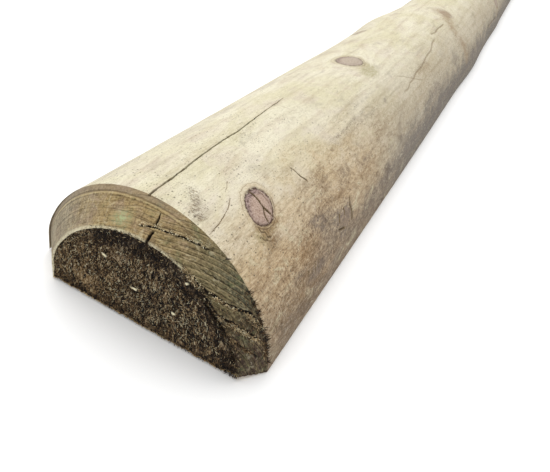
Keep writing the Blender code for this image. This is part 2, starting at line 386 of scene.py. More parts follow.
@dataclass(frozen=True)
class PoleShape:
    """The turned pole that the log was sawn from, in millimetres."""

    length: float = 1200.0
    radius: float = 49.95
    saw_loss: float = 3.4
    bow: float = 6.1
    out_of_round: float = 0.4
    wave_round: float = 45.0
    wave_along: float = 240.0
    end_radius: float = 40.1
    end_off_centre: tuple[float, float] = (2.8, 0.7)
    chamfer_length: float = 10.9
    crosscut_skew: float = 0.036
    chamfer_skew: float = 0.065
    tuck: float = 1.7
    tuck_along: tuple[float, float] = (26.0, 9.0)
    tuck_round: tuple[float, float] = (150.0, 170.0)
    tuck_height: float = 15.0
    pith: tuple[float, float] = (9.5, -8.2)
    taper: float = 0.006

    @property
    def chamfer_depth(self) -> float:
        """How much smaller the ends are than the pole, in radius."""
        return self.radius - self.end_radius

    def bow_at(self, along: np.ndarray) -> np.ndarray:
        """How far the centre line has dried out of line, to +X.

        Args:
            along: Distances from the near end.

        Returns:
            One shift for each distance.
        """
        share = along / self.length
        return 4.0 * self.bow * share * (1.0 - share)

    def rise_at(self, along: np.ndarray, angle: np.ndarray) -> np.ndarray:
        """How far the side stands outside the pole's radius.

        Args:
            along: Distances from the near end.
            angle: Angles round the pole in degrees.

        Returns:
            One rise for each place.
        """
        turned = np.radians(angle)
        waves = np.column_stack([
            np.cos(turned) * self.radius / self.wave_round,
            along / self.wave_along,
            np.sin(turned) * self.radius / self.wave_round,
        ])
        rise = self.out_of_round * np.array([noise.noise(place) for place in waves.tolist()])
        for knot in KNOTS:
            round_it = np.radians(angle - knot.angle) * self.radius
            away = np.hypot(along - knot.along, round_it) / (knot.radius * KNOT_HUMP)
            rise += knot.rise * np.exp(-(away**2))
        for hump in SWELLINGS:
            away_round = np.radians(angle - hump.angle) * self.radius / hump.reach_round
            away_along = (along - hump.along) / hump.reach_along
            rise += hump.rise * np.exp(-(away_along**2) - away_round**2)
        return rise

    def tucked_at(self, points: np.ndarray) -> np.ndarray:
        """How far the left lower corner of the near end is worn in, to +X.

        Args:
            points: Points on the pole before it bows.

        Returns:
            One shift for each point.
        """
        angle = np.degrees(np.arctan2(points[:, 2], points[:, 0]))
        corner = smoothstep(points[:, 1], *self.tuck_along) * smoothstep(angle, *self.tuck_round)
        return self.tuck * corner * smoothstep(points[:, 2] - self.saw_loss, self.tuck_height, 0.0)

    def skew_at(self, inward: float) -> float:
        """How far an end is out of square: the chamfer's skew at 0 and the crosscut's at 1."""
        return self.chamfer_skew + (self.crosscut_skew - self.chamfer_skew) * inward

    def end_side(self, along: np.ndarray) -> np.ndarray:
        """1 for places nearer the near end and -1 for the others."""
        return np.where(along < self.length / 2, 1.0, -1.0)

    def inward_at(self, points: np.ndarray) -> np.ndarray:
        """How far inside the side each point of an end lies.

        Args:
            points: Points on the pole before it bows.

        Returns:
            0 on the side, 1 on the end's rim and more within it.
        """
        shift = np.array(self.end_off_centre) * self.end_side(points[:, 1])[:, None]
        inward = np.zeros(len(points))
        for _ in range(5):
            middle = shift * np.clip(inward, 0.0, 1.0)[:, None]
            away = np.linalg.norm(points[:, [0, 2]] - middle, axis=1)
            inward = (self.radius - away) / self.chamfer_depth
        return inward

    def ring_at(self, points: np.ndarray) -> np.ndarray:
        """The growth of the tree at each point: the distance from its pith, bent round the knots.

        Args:
            points: Points on the pole before it bows.

        Returns:
            One distance for each point.
        """
        away = np.hypot(points[:, 0] - self.pith[0], points[:, 2] - self.pith[1])
        growth = away - self.taper * points[:, 1]
        growth += 1.5 * fractal(points, (38.0, 150.0, 38.0), 3, 7.3)
        growth += 0.25 * fractal(points, (9.0, 60.0, 9.0), 2, 3.1)
        angle = np.degrees(np.arctan2(points[:, 2], points[:, 0]))
        for knot in KNOTS:
            round_it = np.radians(angle - knot.angle) * self.radius / (1.7 * knot.radius)
            along_it = (points[:, 1] - knot.along) / (2.9 * knot.radius)
            growth += 0.42 * knot.radius * np.exp(-(round_it**2) - along_it**2) * smoothstep(away, 20.0, 44.0)
        return growth


@dataclass(frozen=True)
class LogSurface:
    """Where each vertex of the log's mesh lies on the pole, and what the wood is like there."""

    shape: PoleShape
    points: np.ndarray
    zones: np.ndarray
    angle: np.ndarray = field(init=False)
    arc: np.ndarray = field(init=False)
    along: np.ndarray = field(init=False)
    inward: np.ndarray = field(init=False)

    def __post_init__(self) -> None:
        """Works out the angle, arc, distance and inward share of each vertex."""
        angle = np.degrees(np.arctan2(self.points[:, 2], self.points[:, 0]))
        object.__setattr__(self, "angle", angle)
        object.__setattr__(self, "arc", np.radians(angle) * self.shape.radius)
        object.__setattr__(self, "along", self.points[:, 1])
        object.__setattr__(self, "inward", self.shape.inward_at(self.points))

    def weight(self, zone: Zone) -> np.ndarray:
        """The share of each vertex's faces that lie in a zone."""
        return self.zones[:, zone.value]

    def side_places(self) -> np.ndarray:
        """Each vertex unrolled: its distance round the pole from +X, and along it."""
        return np.column_stack([self.arc, self.along])

    def end_places(self) -> np.ndarray:
        """Each vertex as seen along the pole."""
        return self.points[:, [0, 2]]

    def side_path(self, crack: Crack) -> np.ndarray:
        """A side crack's path, unrolled."""
        path = np.array(crack.path)
        return np.column_stack([np.radians(path[:, 0]) * self.shape.radius, path[:, 1]])

    def end_path(self, crack: Crack) -> np.ndarray:
        """An end crack's path, as seen along the pole."""
        path = np.array(crack.path)
        turned = np.radians(path[:, 0])
        return np.column_stack([path[:, 1] * np.cos(turned), path[:, 1] * np.sin(turned)])

    def crack_families(self) -> list[tuple[tuple[Crack, ...], np.ndarray, bool]]:
        """The log's cracks in three families.

        Returns:
            For each family its cracks, which vertices they may reach, and whether they lie on an end.
        """
        on_side = self.weight(Zone.SIDE) > 0
        on_end = self.weight(Zone.CHAMFER) + self.weight(Zone.END) > 0
        near = self.along < self.shape.length / 2
        return [
            (SIDE_CRACKS, on_side, False),
            (NEAR_END_CRACKS, on_end & near, True),
            (FAR_END_CRACKS, on_end & ~near, True),
        ]

    def cracks(self) -> tuple[np.ndarray, np.ndarray]:
        """How deep the cracks go at each vertex, and how dark they are painted: partly the darker wood inside
        them and partly painted shade.

        Returns:
            The depth in millimetres, and the darkness from 0 to 1.
        """
        depth = np.zeros(len(self.points))
        dark = np.zeros(len(self.points))
        wander = 0.22 * fractal(self.points, (2.4, 5.0, 2.4), 3, 11.0)
        ragged = 1.0 + 0.45 * fractal(self.points, (1.6, 3.0, 1.6), 2, 5.0)
        for cracks, reach, on_end in self.crack_families():
            places = (self.end_places() if on_end else self.side_places()) + wander[:, None]
            for crack in cracks:
                path = self.end_path(crack) if on_end else self.side_path(crack)
                away, share, _ = nearest_on_path(places, path)
                width = (crack.width_start + (crack.width_end - crack.width_start) * share) * ragged
                tips = smoothstep(share, -0.02, 0.06) * smoothstep(share, 1.02, 0.9)
                opened = np.clip(1.0 - 2.0 * away / np.maximum(width, 0.1), 0.0, 1.0) * reach
                # Painted shade: the darkness reaches a little past a crack's opening, for the shade along its
                # edges.
                shade = np.clip(1.6 - 2.2 * away / np.maximum(width, 0.1), 0.0, 1.0) * reach
                depth = np.maximum(depth, crack.depth * opened**0.6 * tips)
                dark = np.maximum(dark, crack.dark * shade * np.maximum(tips, 0.25))
        return depth, dark

    def stain(self, kind: StainKind) -> np.ndarray:
        """How strongly a colour has stained each vertex.

        Args:
            kind: The colour.

        Returns:
            A strength from 0 to 1 for each vertex.
        """
        total = np.zeros(len(self.points))
        for stain in STAINS[kind]:
            round_it = (self.arc - math.radians(stain.angle) * self.shape.radius) / stain.reach_round
            along_it = (self.along - stain.along) / stain.reach_along
            total += stain.strength * np.exp(-(round_it**2) - along_it**2)
        return np.clip(total, 0.0, 1.0)

    def knot_places(self) -> tuple[np.ndarray, np.ndarray, np.ndarray]:
        """Where each vertex lies on its nearest knot.

        Returns:
            The place across and along the knot in its radii, with how clearly the knot shows. Then the
            knot's tone, and the distance from its middle in its radii.
        """
        place = np.zeros((len(self.points), 3))
        tone = np.zeros(len(self.points))
        nearest = np.full(len(self.points), 1e9)
        for knot in KNOTS:
            from_middle = self.along - knot.along
            across = self.arc - math.radians(knot.angle) * self.shape.radius - knot.lean * from_middle
            across, lengthwise = across / knot.radius, from_middle / (knot.radius * knot.stretch)
            away = np.hypot(across, lengthwise)
            closer = away < nearest
            nearest[closer] = away[closer]
            tone[closer] = knot.tone
            place[closer] = np.column_stack([across, lengthwise, np.full(len(across), knot.show)])[closer]
        return place, tone, nearest


@dataclass(frozen=True)
class MeshPlan:
    """How finely the log's mesh is divided, in millimetres."""

    segments: int = 80
    near_reach: float = 160.0
    middle_reach: float = 480.0
    near_pitch: float = 2.0
    middle_pitch: float = 3.0
    far_pitch: float = 5.0
    end_ring: float = 2.0
    slant_steps: int = 7
    flat_pitch: float = 8.0
    near_side: float = 2.2
    near_chamfer: float = 0.75
    near_ridges: float = 0.2
    near_face: float = 0.62
    far_ends: float = 1.6
    near_knot: float = 0.6
    far_knot: float = 1.3
    knot_reach: float = 1.35
    passes: int = 4
    sharp_from: float = 38.0


@dataclass(frozen=True)
class Relief:
    """How rough each surface is, in millimetres."""

    ring_pitch: float = 1.15
    ridge: float = 0.4
    ridge_smooth_side: float = 0.06
    torn: float = 0.32
    end_rough: float = 0.7
    end_fuzz: float = 0.6
    saw_mark: float = 0.16
    saw_pitch: float = 3.4
    side_ripple: float = 0.05
    knot_groove: float = 0.3
    knot_dip: float = 0.12
    pit_place: tuple[float, float] = (0.7, 20.0)
    pit_reach: tuple[float, float] = (3.0, 1.8)
    pit_depth: float = 1.2
    small_chips: float = 0.9
    large_chips: float = 1.1
    worn_place: float = 42.0
    worn_reach: float = 4.6
    worn_depth: float = 1.5


@dataclass
class LogBody:
    """The log itself, from the turned pole to the finished piece."""

    shape: PoleShape = field(default_factory=PoleShape)
    plan: MeshPlan = field(default_factory=MeshPlan)
    relief: Relief = field(default_factory=Relief)

    def build(self) -> bpy.types.Object:
        """Makes the finished piece.

        Returns:
            The log's object, at the origin, with its materials and its surface attributes.
        """
        mesh = bmesh.new()
        self.turn(mesh)
        self.cut_ends(mesh)
        self.saw(mesh)
        self.sort_zones(mesh)
        self.refine(mesh)
        surface = self.read_surface(mesh)
        normals = np.array([tuple(vert.normal) for vert in mesh.verts])
        data = keep_mesh("turned_log", mesh)
        self.write_points(data, surface, normals)
        self.write_attributes(data, surface)
        data.shade_smooth()
        data.set_sharp_from_angle(angle=math.radians(self.plan.sharp_from))
        for finish in (PeeledSide(), TurnedChamfer(), RoughEnd(), SawnFace()):
            data.materials.append(finish.material())
        return add_object("turned_log", data)

    def profile(self) -> list[tuple[float, float]]:
        """The half profile that is turned into the pole.

        Returns:
            Pairs of radius and distance from the near end.
        """
        shape, plan = self.shape, self.plan
        rings = np.linspace(0.0, shape.end_radius, round(shape.end_radius / plan.end_ring) + 1)
        slant = np.linspace(0.0, 1.0, plan.slant_steps + 1)[1:]
        side = self.side_rows()
        near_chamfer = [(shape.end_radius + shape.chamfer_depth * s, shape.chamfer_length * s) for s in slant]
        far_chamfer = [(radius, shape.length - along) for radius, along in reversed(near_chamfer)]
        near_face = [(radius, 0.0) for radius in rings]
        far_face = [(radius, shape.length) for radius in reversed(rings)]
        return near_face + near_chamfer + [(shape.radius, row) for row in side] + far_chamfer + far_face

    def side_rows(self) -> list[float]:
        """Distances from the near end of the rows on the side, between its two chamfers."""
        shape, plan = self.shape, self.plan
        start_at, stop_at = shape.chamfer_length, shape.length - shape.chamfer_length
        stops = [start_at, plan.near_reach, plan.middle_reach, stop_at]
        rows: list[float] = []
        for start, stop, pitch in zip(stops, stops[1:], (plan.near_pitch, plan.middle_pitch, plan.far_pitch)):
            rows += np.linspace(start, stop, round((stop - start) / pitch) + 1).tolist()[1:]
        return rows[:-1]

    def turn(self, mesh: bmesh.types.BMesh) -> None:
        """Spins the profile over the crown, from +X to -X.

        Args:
            mesh: The mesh to fill.
        """
        points = [mesh.verts.new((radius, along, 0.0)) for radius, along in self.profile()]
        edges = [mesh.edges.new(pair) for pair in zip(points, points[1:])]
        bmesh.ops.spin(
            mesh,
            geom=points + edges,
            cent=(0.0, 0.0, 0.0),
            axis=(0.0, -1.0, 0.0),
            angle=math.pi,
            steps=self.plan.segments,
            use_merge=False,
        )
        bmesh.ops.remove_doubles(mesh, verts=mesh.verts[:], dist=1e-4)
        bmesh.ops.recalc_face_normals(mesh, faces=mesh.faces[:])

    def cut_ends(self, mesh: bmesh.types.BMesh) -> None:
        """Moves the ends onto the off-centre chamfers and the skewed crosscuts.

        Args:
            mesh: The turned pole.
        """
        shape = self.shape
        reach = shape.chamfer_length * 1.01
        for vert in mesh.verts:
            from_end = min(vert.co.y, shape.length - vert.co.y)
            if from_end > reach:
                continue
            side = 1.0 if vert.co.y < shape.length / 2 else -1.0
            inward = min(1.0, (shape.radius - math.hypot(vert.co.x, vert.co.z)) / shape.chamfer_depth)
            vert.co.x += shape.end_off_centre[0] * inward * side
            vert.co.z += shape.end_off_centre[1] * inward * side
            vert.co.y -= side * shape.skew_at(inward) * vert.co.x

    def saw(self, mesh: bmesh.types.BMesh) -> None:
        """Saws the pole in two, closes the sawn face and divides it.

        Args:
            mesh: The pole with its ends cut.
        """
        shape, plan = self.shape, self.plan
        bmesh.ops.bisect_plane(
            mesh,
            geom=mesh.verts[:] + mesh.edges[:] + mesh.faces[:],
            dist=1e-4,
            plane_co=(0.0, 0.0, shape.saw_loss),
            plane_no=(0.0, 0.0, 1.0),
            clear_inner=True,
        )
        rim = [edge for edge in mesh.edges if edge.is_boundary]
        bmesh.ops.holes_fill(mesh, edges=rim, sides=0)
        bmesh.ops.recalc_face_normals(mesh, faces=mesh.faces[:])
        self.divide_flat(mesh, Vector((0.0, 1.0, 0.0)), plan.flat_pitch, shape.length - plan.flat_pitch)
        self.divide_flat(mesh, Vector((1.0, 0.0, 0.0)), -shape.radius + plan.flat_pitch, shape.radius)
        bmesh.ops.remove_doubles(mesh, verts=mesh.verts[:], dist=1e-3)

    def divide_flat(self, mesh: bmesh.types.BMesh, across: Vector, first: float, last: float) -> None:
        """Divides the sawn face with evenly spaced cuts.

        Args:
            mesh: The sawn log.
            across: The direction that the cuts are spaced along.
            first: The place of the first cut.
            last: No cut lies past this place.
        """
        for place in np.arange(first, last, self.plan.flat_pitch):
            flat = [face for face in mesh.faces if face.normal.z < -0.99 and face.calc_area() > 1.0]
            near = [face for face in flat if self.spans(face, across, place)]
            parts = set(near)
            for face in near:
                parts.update(face.edges)
                parts.update(face.verts)
            through = across * place
            bmesh.ops.bisect_plane(mesh, geom=list(parts), dist=1e-4, plane_co=through, plane_no=across)

    def spans(self, face: bmesh.types.BMFace, across: Vector, place: float) -> bool:
        """Whether a face has corners on both sides of a place along a direction."""
        places = [vert.co.dot(across) for vert in face.verts]
        return min(places) < place < max(places)

    def sort_zones(self, mesh: bmesh.types.BMesh) -> None:
        """Gives each face the material slot of its zone, by the way it faces.

        Args:
            mesh: The sawn log.
        """
        mesh.normal_update()
        for face in mesh.faces:
            lengthwise = abs(face.normal.y)
            if face.normal.z < -FLAT_FACING:
                zone = Zone.SAWN
            elif lengthwise > FLAT_FACING:
                zone = Zone.END
            elif lengthwise > SLANT_FACING:
                zone = Zone.CHAMFER
            else:
                zone = Zone.SIDE
            face.material_index = zone.value

    def read_surface(self, mesh: bmesh.types.BMesh) -> LogSurface:
        """Reads where the vertices are and which zones they touch.

        Args:
            mesh: The log's mesh.

        Returns:
            The surface that the mesh's vertices lie on.
        """
        points = np.array([tuple(vert.co) for vert in mesh.verts])
        zones = np.zeros((len(points), len(Zone)))
        for vert in mesh.verts:
            for face in vert.link_faces:
                zones[vert.index, face.material_index] += 1.0
        zones /= np.maximum(zones.sum(axis=1, keepdims=True), 1.0)
        return LogSurface(self.shape, points, zones)

    def refine(self, mesh: bmesh.types.BMesh) -> None:
        """Splits the edges that are too long for the detail that lies there.

        Args:
            mesh: The log's mesh.
        """
        for _ in range(self.plan.passes):
            mesh.verts.index_update()
            mesh.edges.ensure_lookup_table()
            surface = self.read_surface(mesh)
            pairs = np.array([(edge.verts[0].index, edge.verts[1].index) for edge in mesh.edges])
            too_long = self.too_long(surface, pairs)
            picked = [mesh.edges[index] for index in np.flatnonzero(too_long)]
            if not picked:
                break
            bmesh.ops.subdivide_edges(mesh, edges=picked, cuts=1, use_grid_fill=True)
        pinched = {face for vert in mesh.verts if len(vert.link_edges) == 2 for face in vert.link_faces}
        coarse = [face for face in mesh.faces if len(face.verts) > 4 or face in pinched]
        bmesh.ops.triangulate(mesh, faces=coarse, quad_method="BEAUTY", ngon_method="BEAUTY")
        mesh.verts.index_update()
        mesh.normal_update()
        log.info("the log's mesh has %d faces", len(mesh.faces))

    def too_long(self, surface: LogSurface, pairs: np.ndarray) -> np.ndarray:
        """Which edges are too long for the detail round them.

        Args:
            surface: The surface that the vertices lie on.
            pairs: The two vertices of each edge.

        Returns:
            True for each edge to split.
        """
        ends = surface.points[pairs]
        length = np.linalg.norm(ends[:, 1] - ends[:, 0], axis=1)
        wanted = self.wanted_length(surface)
        too_long = length > wanted[pairs].max(axis=1)
        ridged = (surface.weight(Zone.CHAMFER) > 0.3) & (surface.angle < 84.0)
        ridged &= surface.along < self.shape.length / 2
        from_pith = np.hypot(*(surface.end_places() - self.shape.pith).T)
        across_rings = np.abs(np.diff(from_pith[pairs], axis=1)[:, 0])
        too_long |= ridged[pairs].all(axis=1) & (across_rings > self.plan.near_ridges)
        for cracks, reach, on_end in surface.crack_families():
            places = surface.end_places() if on_end else surface.side_places()
            inside = reach[pairs].all(axis=1)
            middle = places[pairs].mean(axis=1)
            step = places[pairs[:, 1]] - places[pairs[:, 0]]
            for crack in cracks:
                path = surface.end_path(crack) if on_end else surface.side_path(crack)
                away, _, heading = nearest_on_path(middle, path)
                across = np.abs(step[:, 0] * heading[:, 1] - step[:, 1] * heading[:, 0])
                widest = max(crack.width_start, crack.width_end)
                near = away < widest * 0.6 + 0.35 + 0.5 * np.minimum(length, 2.0)
                too_long |= inside & near & (across > crack.pitch)
        return too_long

    def wanted_length(self, surface: LogSurface) -> np.ndarray:
        """The longest edge that suits each vertex, apart from the cracks.

        Args:
            surface: The surface that the vertices lie on.

        Returns:
            One length for each vertex.
        """
        plan = self.plan
        wanted = np.full(len(surface.points), 99.0)
        near = surface.along < self.shape.length / 2
        on_side = surface.weight(Zone.SIDE) > 0
        _, _, from_knot = surface.knot_places()
        knot_pitch = np.where(surface.along < plan.middle_reach, plan.near_knot, plan.far_knot)
        chamfer = surface.weight(Zone.CHAMFER) > 0.3
        face = surface.weight(Zone.END) > 0.3
        for picked, pitch in (
            (on_side & (surface.along < plan.near_reach), plan.near_side),
            (on_side & (from_knot < plan.knot_reach), knot_pitch),
            (chamfer & near, plan.near_chamfer),
            (face & near, plan.near_face),
            ((chamfer | face) & ~near, plan.far_ends),
        ):
            wanted = np.where(picked, np.minimum(wanted, pitch), wanted)
        return wanted

    def ridges(self, surface: LogSurface) -> np.ndarray:
        """How far the soft wood of each ring has torn back below the hard wood, from 0 to 1."""
        phase = self.shape.ring_at(surface.points) / self.relief.ring_pitch - 0.4
        wave = 0.5 - 0.5 * np.cos(2.0 * math.pi * phase)
        patchy = smoothstep(fractal(surface.points, 6.0, 3, 2.0), -0.35, 0.35)
        return wave**2.2 * (0.4 + 0.6 * patchy)

    def chamfer_depth(self, surface: LogSurface) -> np.ndarray:
        """How far each vertex of a chamfer lies below its cone, with ridges and hollows most on the right."""
        rough = self.relief
        ridged = smoothstep(surface.angle, 92.0, 40.0)
        fuzz = np.abs(fractal(surface.points, 1.3, 3, 1.0))
        torn = smoothstep(fractal(surface.points, 5.0, 3, 4.0), 0.0, 0.45)
        torn *= smoothstep(surface.angle, 62.0, 42.0) * smoothstep(surface.angle, 14.0, 26.0)
        torn *= smoothstep(surface.inward, 0.1, 0.7)
        height = rough.ridge_smooth_side + (rough.ridge - rough.ridge_smooth_side) * ridged
        return height * self.ridges(surface) + rough.torn * torn * (0.3 + fuzz)

    def end_depth(self, surface: LogSurface) -> np.ndarray:
        """How far each vertex of an end lies below its crosscut: hollows, upright strokes and torn bits."""
        rough = self.relief
        lumps = 0.5 + 0.6 * fractal(surface.points, 8.0, 3, 9.0)
        strokes = fractal(surface.points, (1.1, 2.0, 2.6), 3, 1.7)
        across, up = ((surface.end_places() - rough.pit_place) / rough.pit_reach).T
        pit = rough.pit_depth * np.exp(-(across**2) - up**2) * (surface.along < self.shape.length / 2)
        return 0.3 + rough.end_rough * np.clip(lumps, 0.0, 1.0) + rough.end_fuzz * (0.5 + strokes) + pit

    def side_depth(self, surface: LogSurface) -> np.ndarray:
        """How far each vertex of the side lies below the pole: a faint ripple, and the knots' edges."""
        rough = self.relief
        side = rough.side_ripple * (1.0 + fractal(surface.points, (3.0, 14.0, 3.0), 3, 8.0))
        _, _, from_knot = surface.knot_places()
        uneven = from_knot + 0.1 * fractal(surface.points, 4.0, 2, 3.0)
        groove = np.exp(-(((uneven - 1.0) / 0.07) ** 2))
        return side + rough.knot_groove * groove + rough.knot_dip * smoothstep(uneven, 1.0, 0.8)

    def depth_below(self, surface: LogSurface) -> np.ndarray:
        """How far each vertex lies below the turned or sawn surface.

        Args:
            surface: The surface that the vertices lie on.

        Returns:
            One depth in millimetres for each vertex, measured inward.
        """
        rough = self.relief
        points = surface.points
        tooth = 0.5 + 0.5 * np.sin(2.0 * math.pi * (surface.along + 0.05 * points[:, 0]) / rough.saw_pitch)
        sawn = rough.saw_mark * tooth * (0.6 + 0.4 * fractal(points, (30.0, 60.0, 30.0), 2, 6.0))
        cracks, _ = surface.cracks()
        depth = surface.weight(Zone.CHAMFER) * self.chamfer_depth(surface)
        depth += surface.weight(Zone.END) * self.end_depth(surface)
        depth += surface.weight(Zone.SAWN) * sawn
        return depth + surface.weight(Zone.SIDE) * self.side_depth(surface) + cracks

    def write_points(self, data: bpy.types.Mesh, surface: LogSurface, normals: np.ndarray) -> None:
        """Gives the vertices their relief, humps and bow, and puts them in the log's frame in metres.

        Args:
            data: The mesh to write to.
            surface: The surface that the vertices lie on.
            normals: The direction that each vertex faces.
        """
        shape, rough = self.shape, self.relief
        points = surface.points - normals * self.depth_below(surface)[:, None]
        rise = shape.rise_at(surface.along, surface.angle) * surface.weight(Zone.SIDE)
        lower_edge = np.minimum(surface.weight(Zone.END), surface.weight(Zone.SAWN)) > 0.0
        chipped = rough.small_chips * np.abs(fractal(surface.points, 2.5, 3, 5.5))
        chipped += rough.large_chips * np.abs(fractal(surface.points, 9.0, 2, 2.5))
        points[:, 2] += chipped * lower_edge
        worn = np.exp(-(((surface.points[:, 0] - rough.worn_place) / rough.worn_reach) ** 2))
        worn *= smoothstep(surface.along, 9.0, 1.0)
        worn *= smoothstep(surface.points[:, 2] - shape.saw_loss, 8.0, 0.0)
        points[:, 2] += rough.worn_depth * worn
        points[:, 0] += shape.tucked_at(surface.points)
        rim = np.radians(surface.angle)
        points[:, 0] += np.cos(rim) * rise
        points[:, 2] += np.sin(rim) * rise
        points[:, 0] += shape.bow_at(surface.along) - shape.bow / 2
        points[:, 1] -= shape.length / 2
        points[:, 2] -= shape.saw_loss
        low, high = (np.array(corner) for corner in CAD_BOX)
        points = np.clip(points * MM, low + BOX_GAP * (low < 0.0), high - BOX_GAP)
        data.vertices.foreach_set("co", points.astype(np.float32).ravel())
        data.update()

    def write_attributes(self, data: bpy.types.Mesh, surface: LogSurface) -> None:
        """Stores what the materials read.

        Args:
            data: The mesh to write to.
            surface: The surface that the vertices lie on.
        """
        _, dark = surface.cracks()
        knot_place, tone, _ = surface.knot_places()
        values = {
            "ring": self.shape.ring_at(surface.points),
            "crack": dark,
            "knot_tone": tone,
            "rim_distance": (surface.inward - 1.0) * self.shape.chamfer_depth,
            "relief": self.end_depth(surface),
            "turn": surface.angle,
        }
        values.update({kind.value: surface.stain(kind) for kind in StainKind})
        vectors = {
            "unrolled": np.column_stack([surface.side_places(), np.zeros(len(surface.points))]),
            "knot_place": knot_place,
        }
        for name, value in values.items():
            layer = data.attributes.new(name, "FLOAT", "POINT")
            layer.data.foreach_set("value", value.astype(np.float32))
        for name, vector in vectors.items():
            layer = data.attributes.new(name, "FLOAT_VECTOR", "POINT")
            layer.data.foreach_set("vector", vector.astype(np.float32).ravel())



def srgb(red: int, green: int, blue: int) -> Colour:
    """A colour given in screen values from 0 to 255, as the linear values that a shader takes."""
    shares = [value / 255 for value in (red, green, blue)]
    return tuple(s / 12.92 if s <= 0.04045 else ((s + 0.055) / 1.055) ** 2.4 for s in shares)


@dataclass(frozen=True)
class Value:
    """The output of a node, with which sums can be written out."""

    wiring: "Wiring"
    socket: bpy.types.NodeSocket

    def math(self, operation: str, other: object = 0.0) -> "Value":
        """A sum on this value and another, by the sum's name."""
        return self.wiring.value("ShaderNodeMath", 0, {0: self, 1: other}, operation=operation)

    def __add__(self, other: object) -> "Value":
        """This value and another together."""
        return self.math("ADD", other)

    def __sub__(self, other: object) -> "Value":
        """This value less another."""
        return self.math("SUBTRACT", other)

    def __mul__(self, other: object) -> "Value":
        """This value times another."""
        return self.math("MULTIPLY", other)

    def __truediv__(self, other: object) -> "Value":
        """This value divided by another."""
        return self.math("DIVIDE", other)

    def __pow__(self, other: object) -> "Value":
        """This value to the power of another."""
        return self.math("POWER", other)

    def larger(self, other: object) -> "Value":
        """This value or another, whichever is larger."""
        return self.math("MAXIMUM", other)

    def ease(self, low: float, high: float, start: float = 0.0, end: float = 1.0) -> "Value":
        """Eases this value from start at low to end at high.

        Args:
            low: Where the result is start.
            high: Where the result is end. It may lie below low.
            start: The result at low.
            end: The result at high.

        Returns:
            The eased value.
        """
        if low > high:
            low, high, start, end = high, low, end, start
        feeds = dict(enumerate((self, low, high, start, end)))
        return self.wiring.value("ShaderNodeMapRange", 0, feeds, interpolation_type="SMOOTHSTEP")

    def line(self, middle: float, half_width: float) -> "Value":
        """1 where this value is at its middle, falling to 0 on both sides of it."""
        return (self - middle).math("ABSOLUTE").ease(half_width, 0.0)


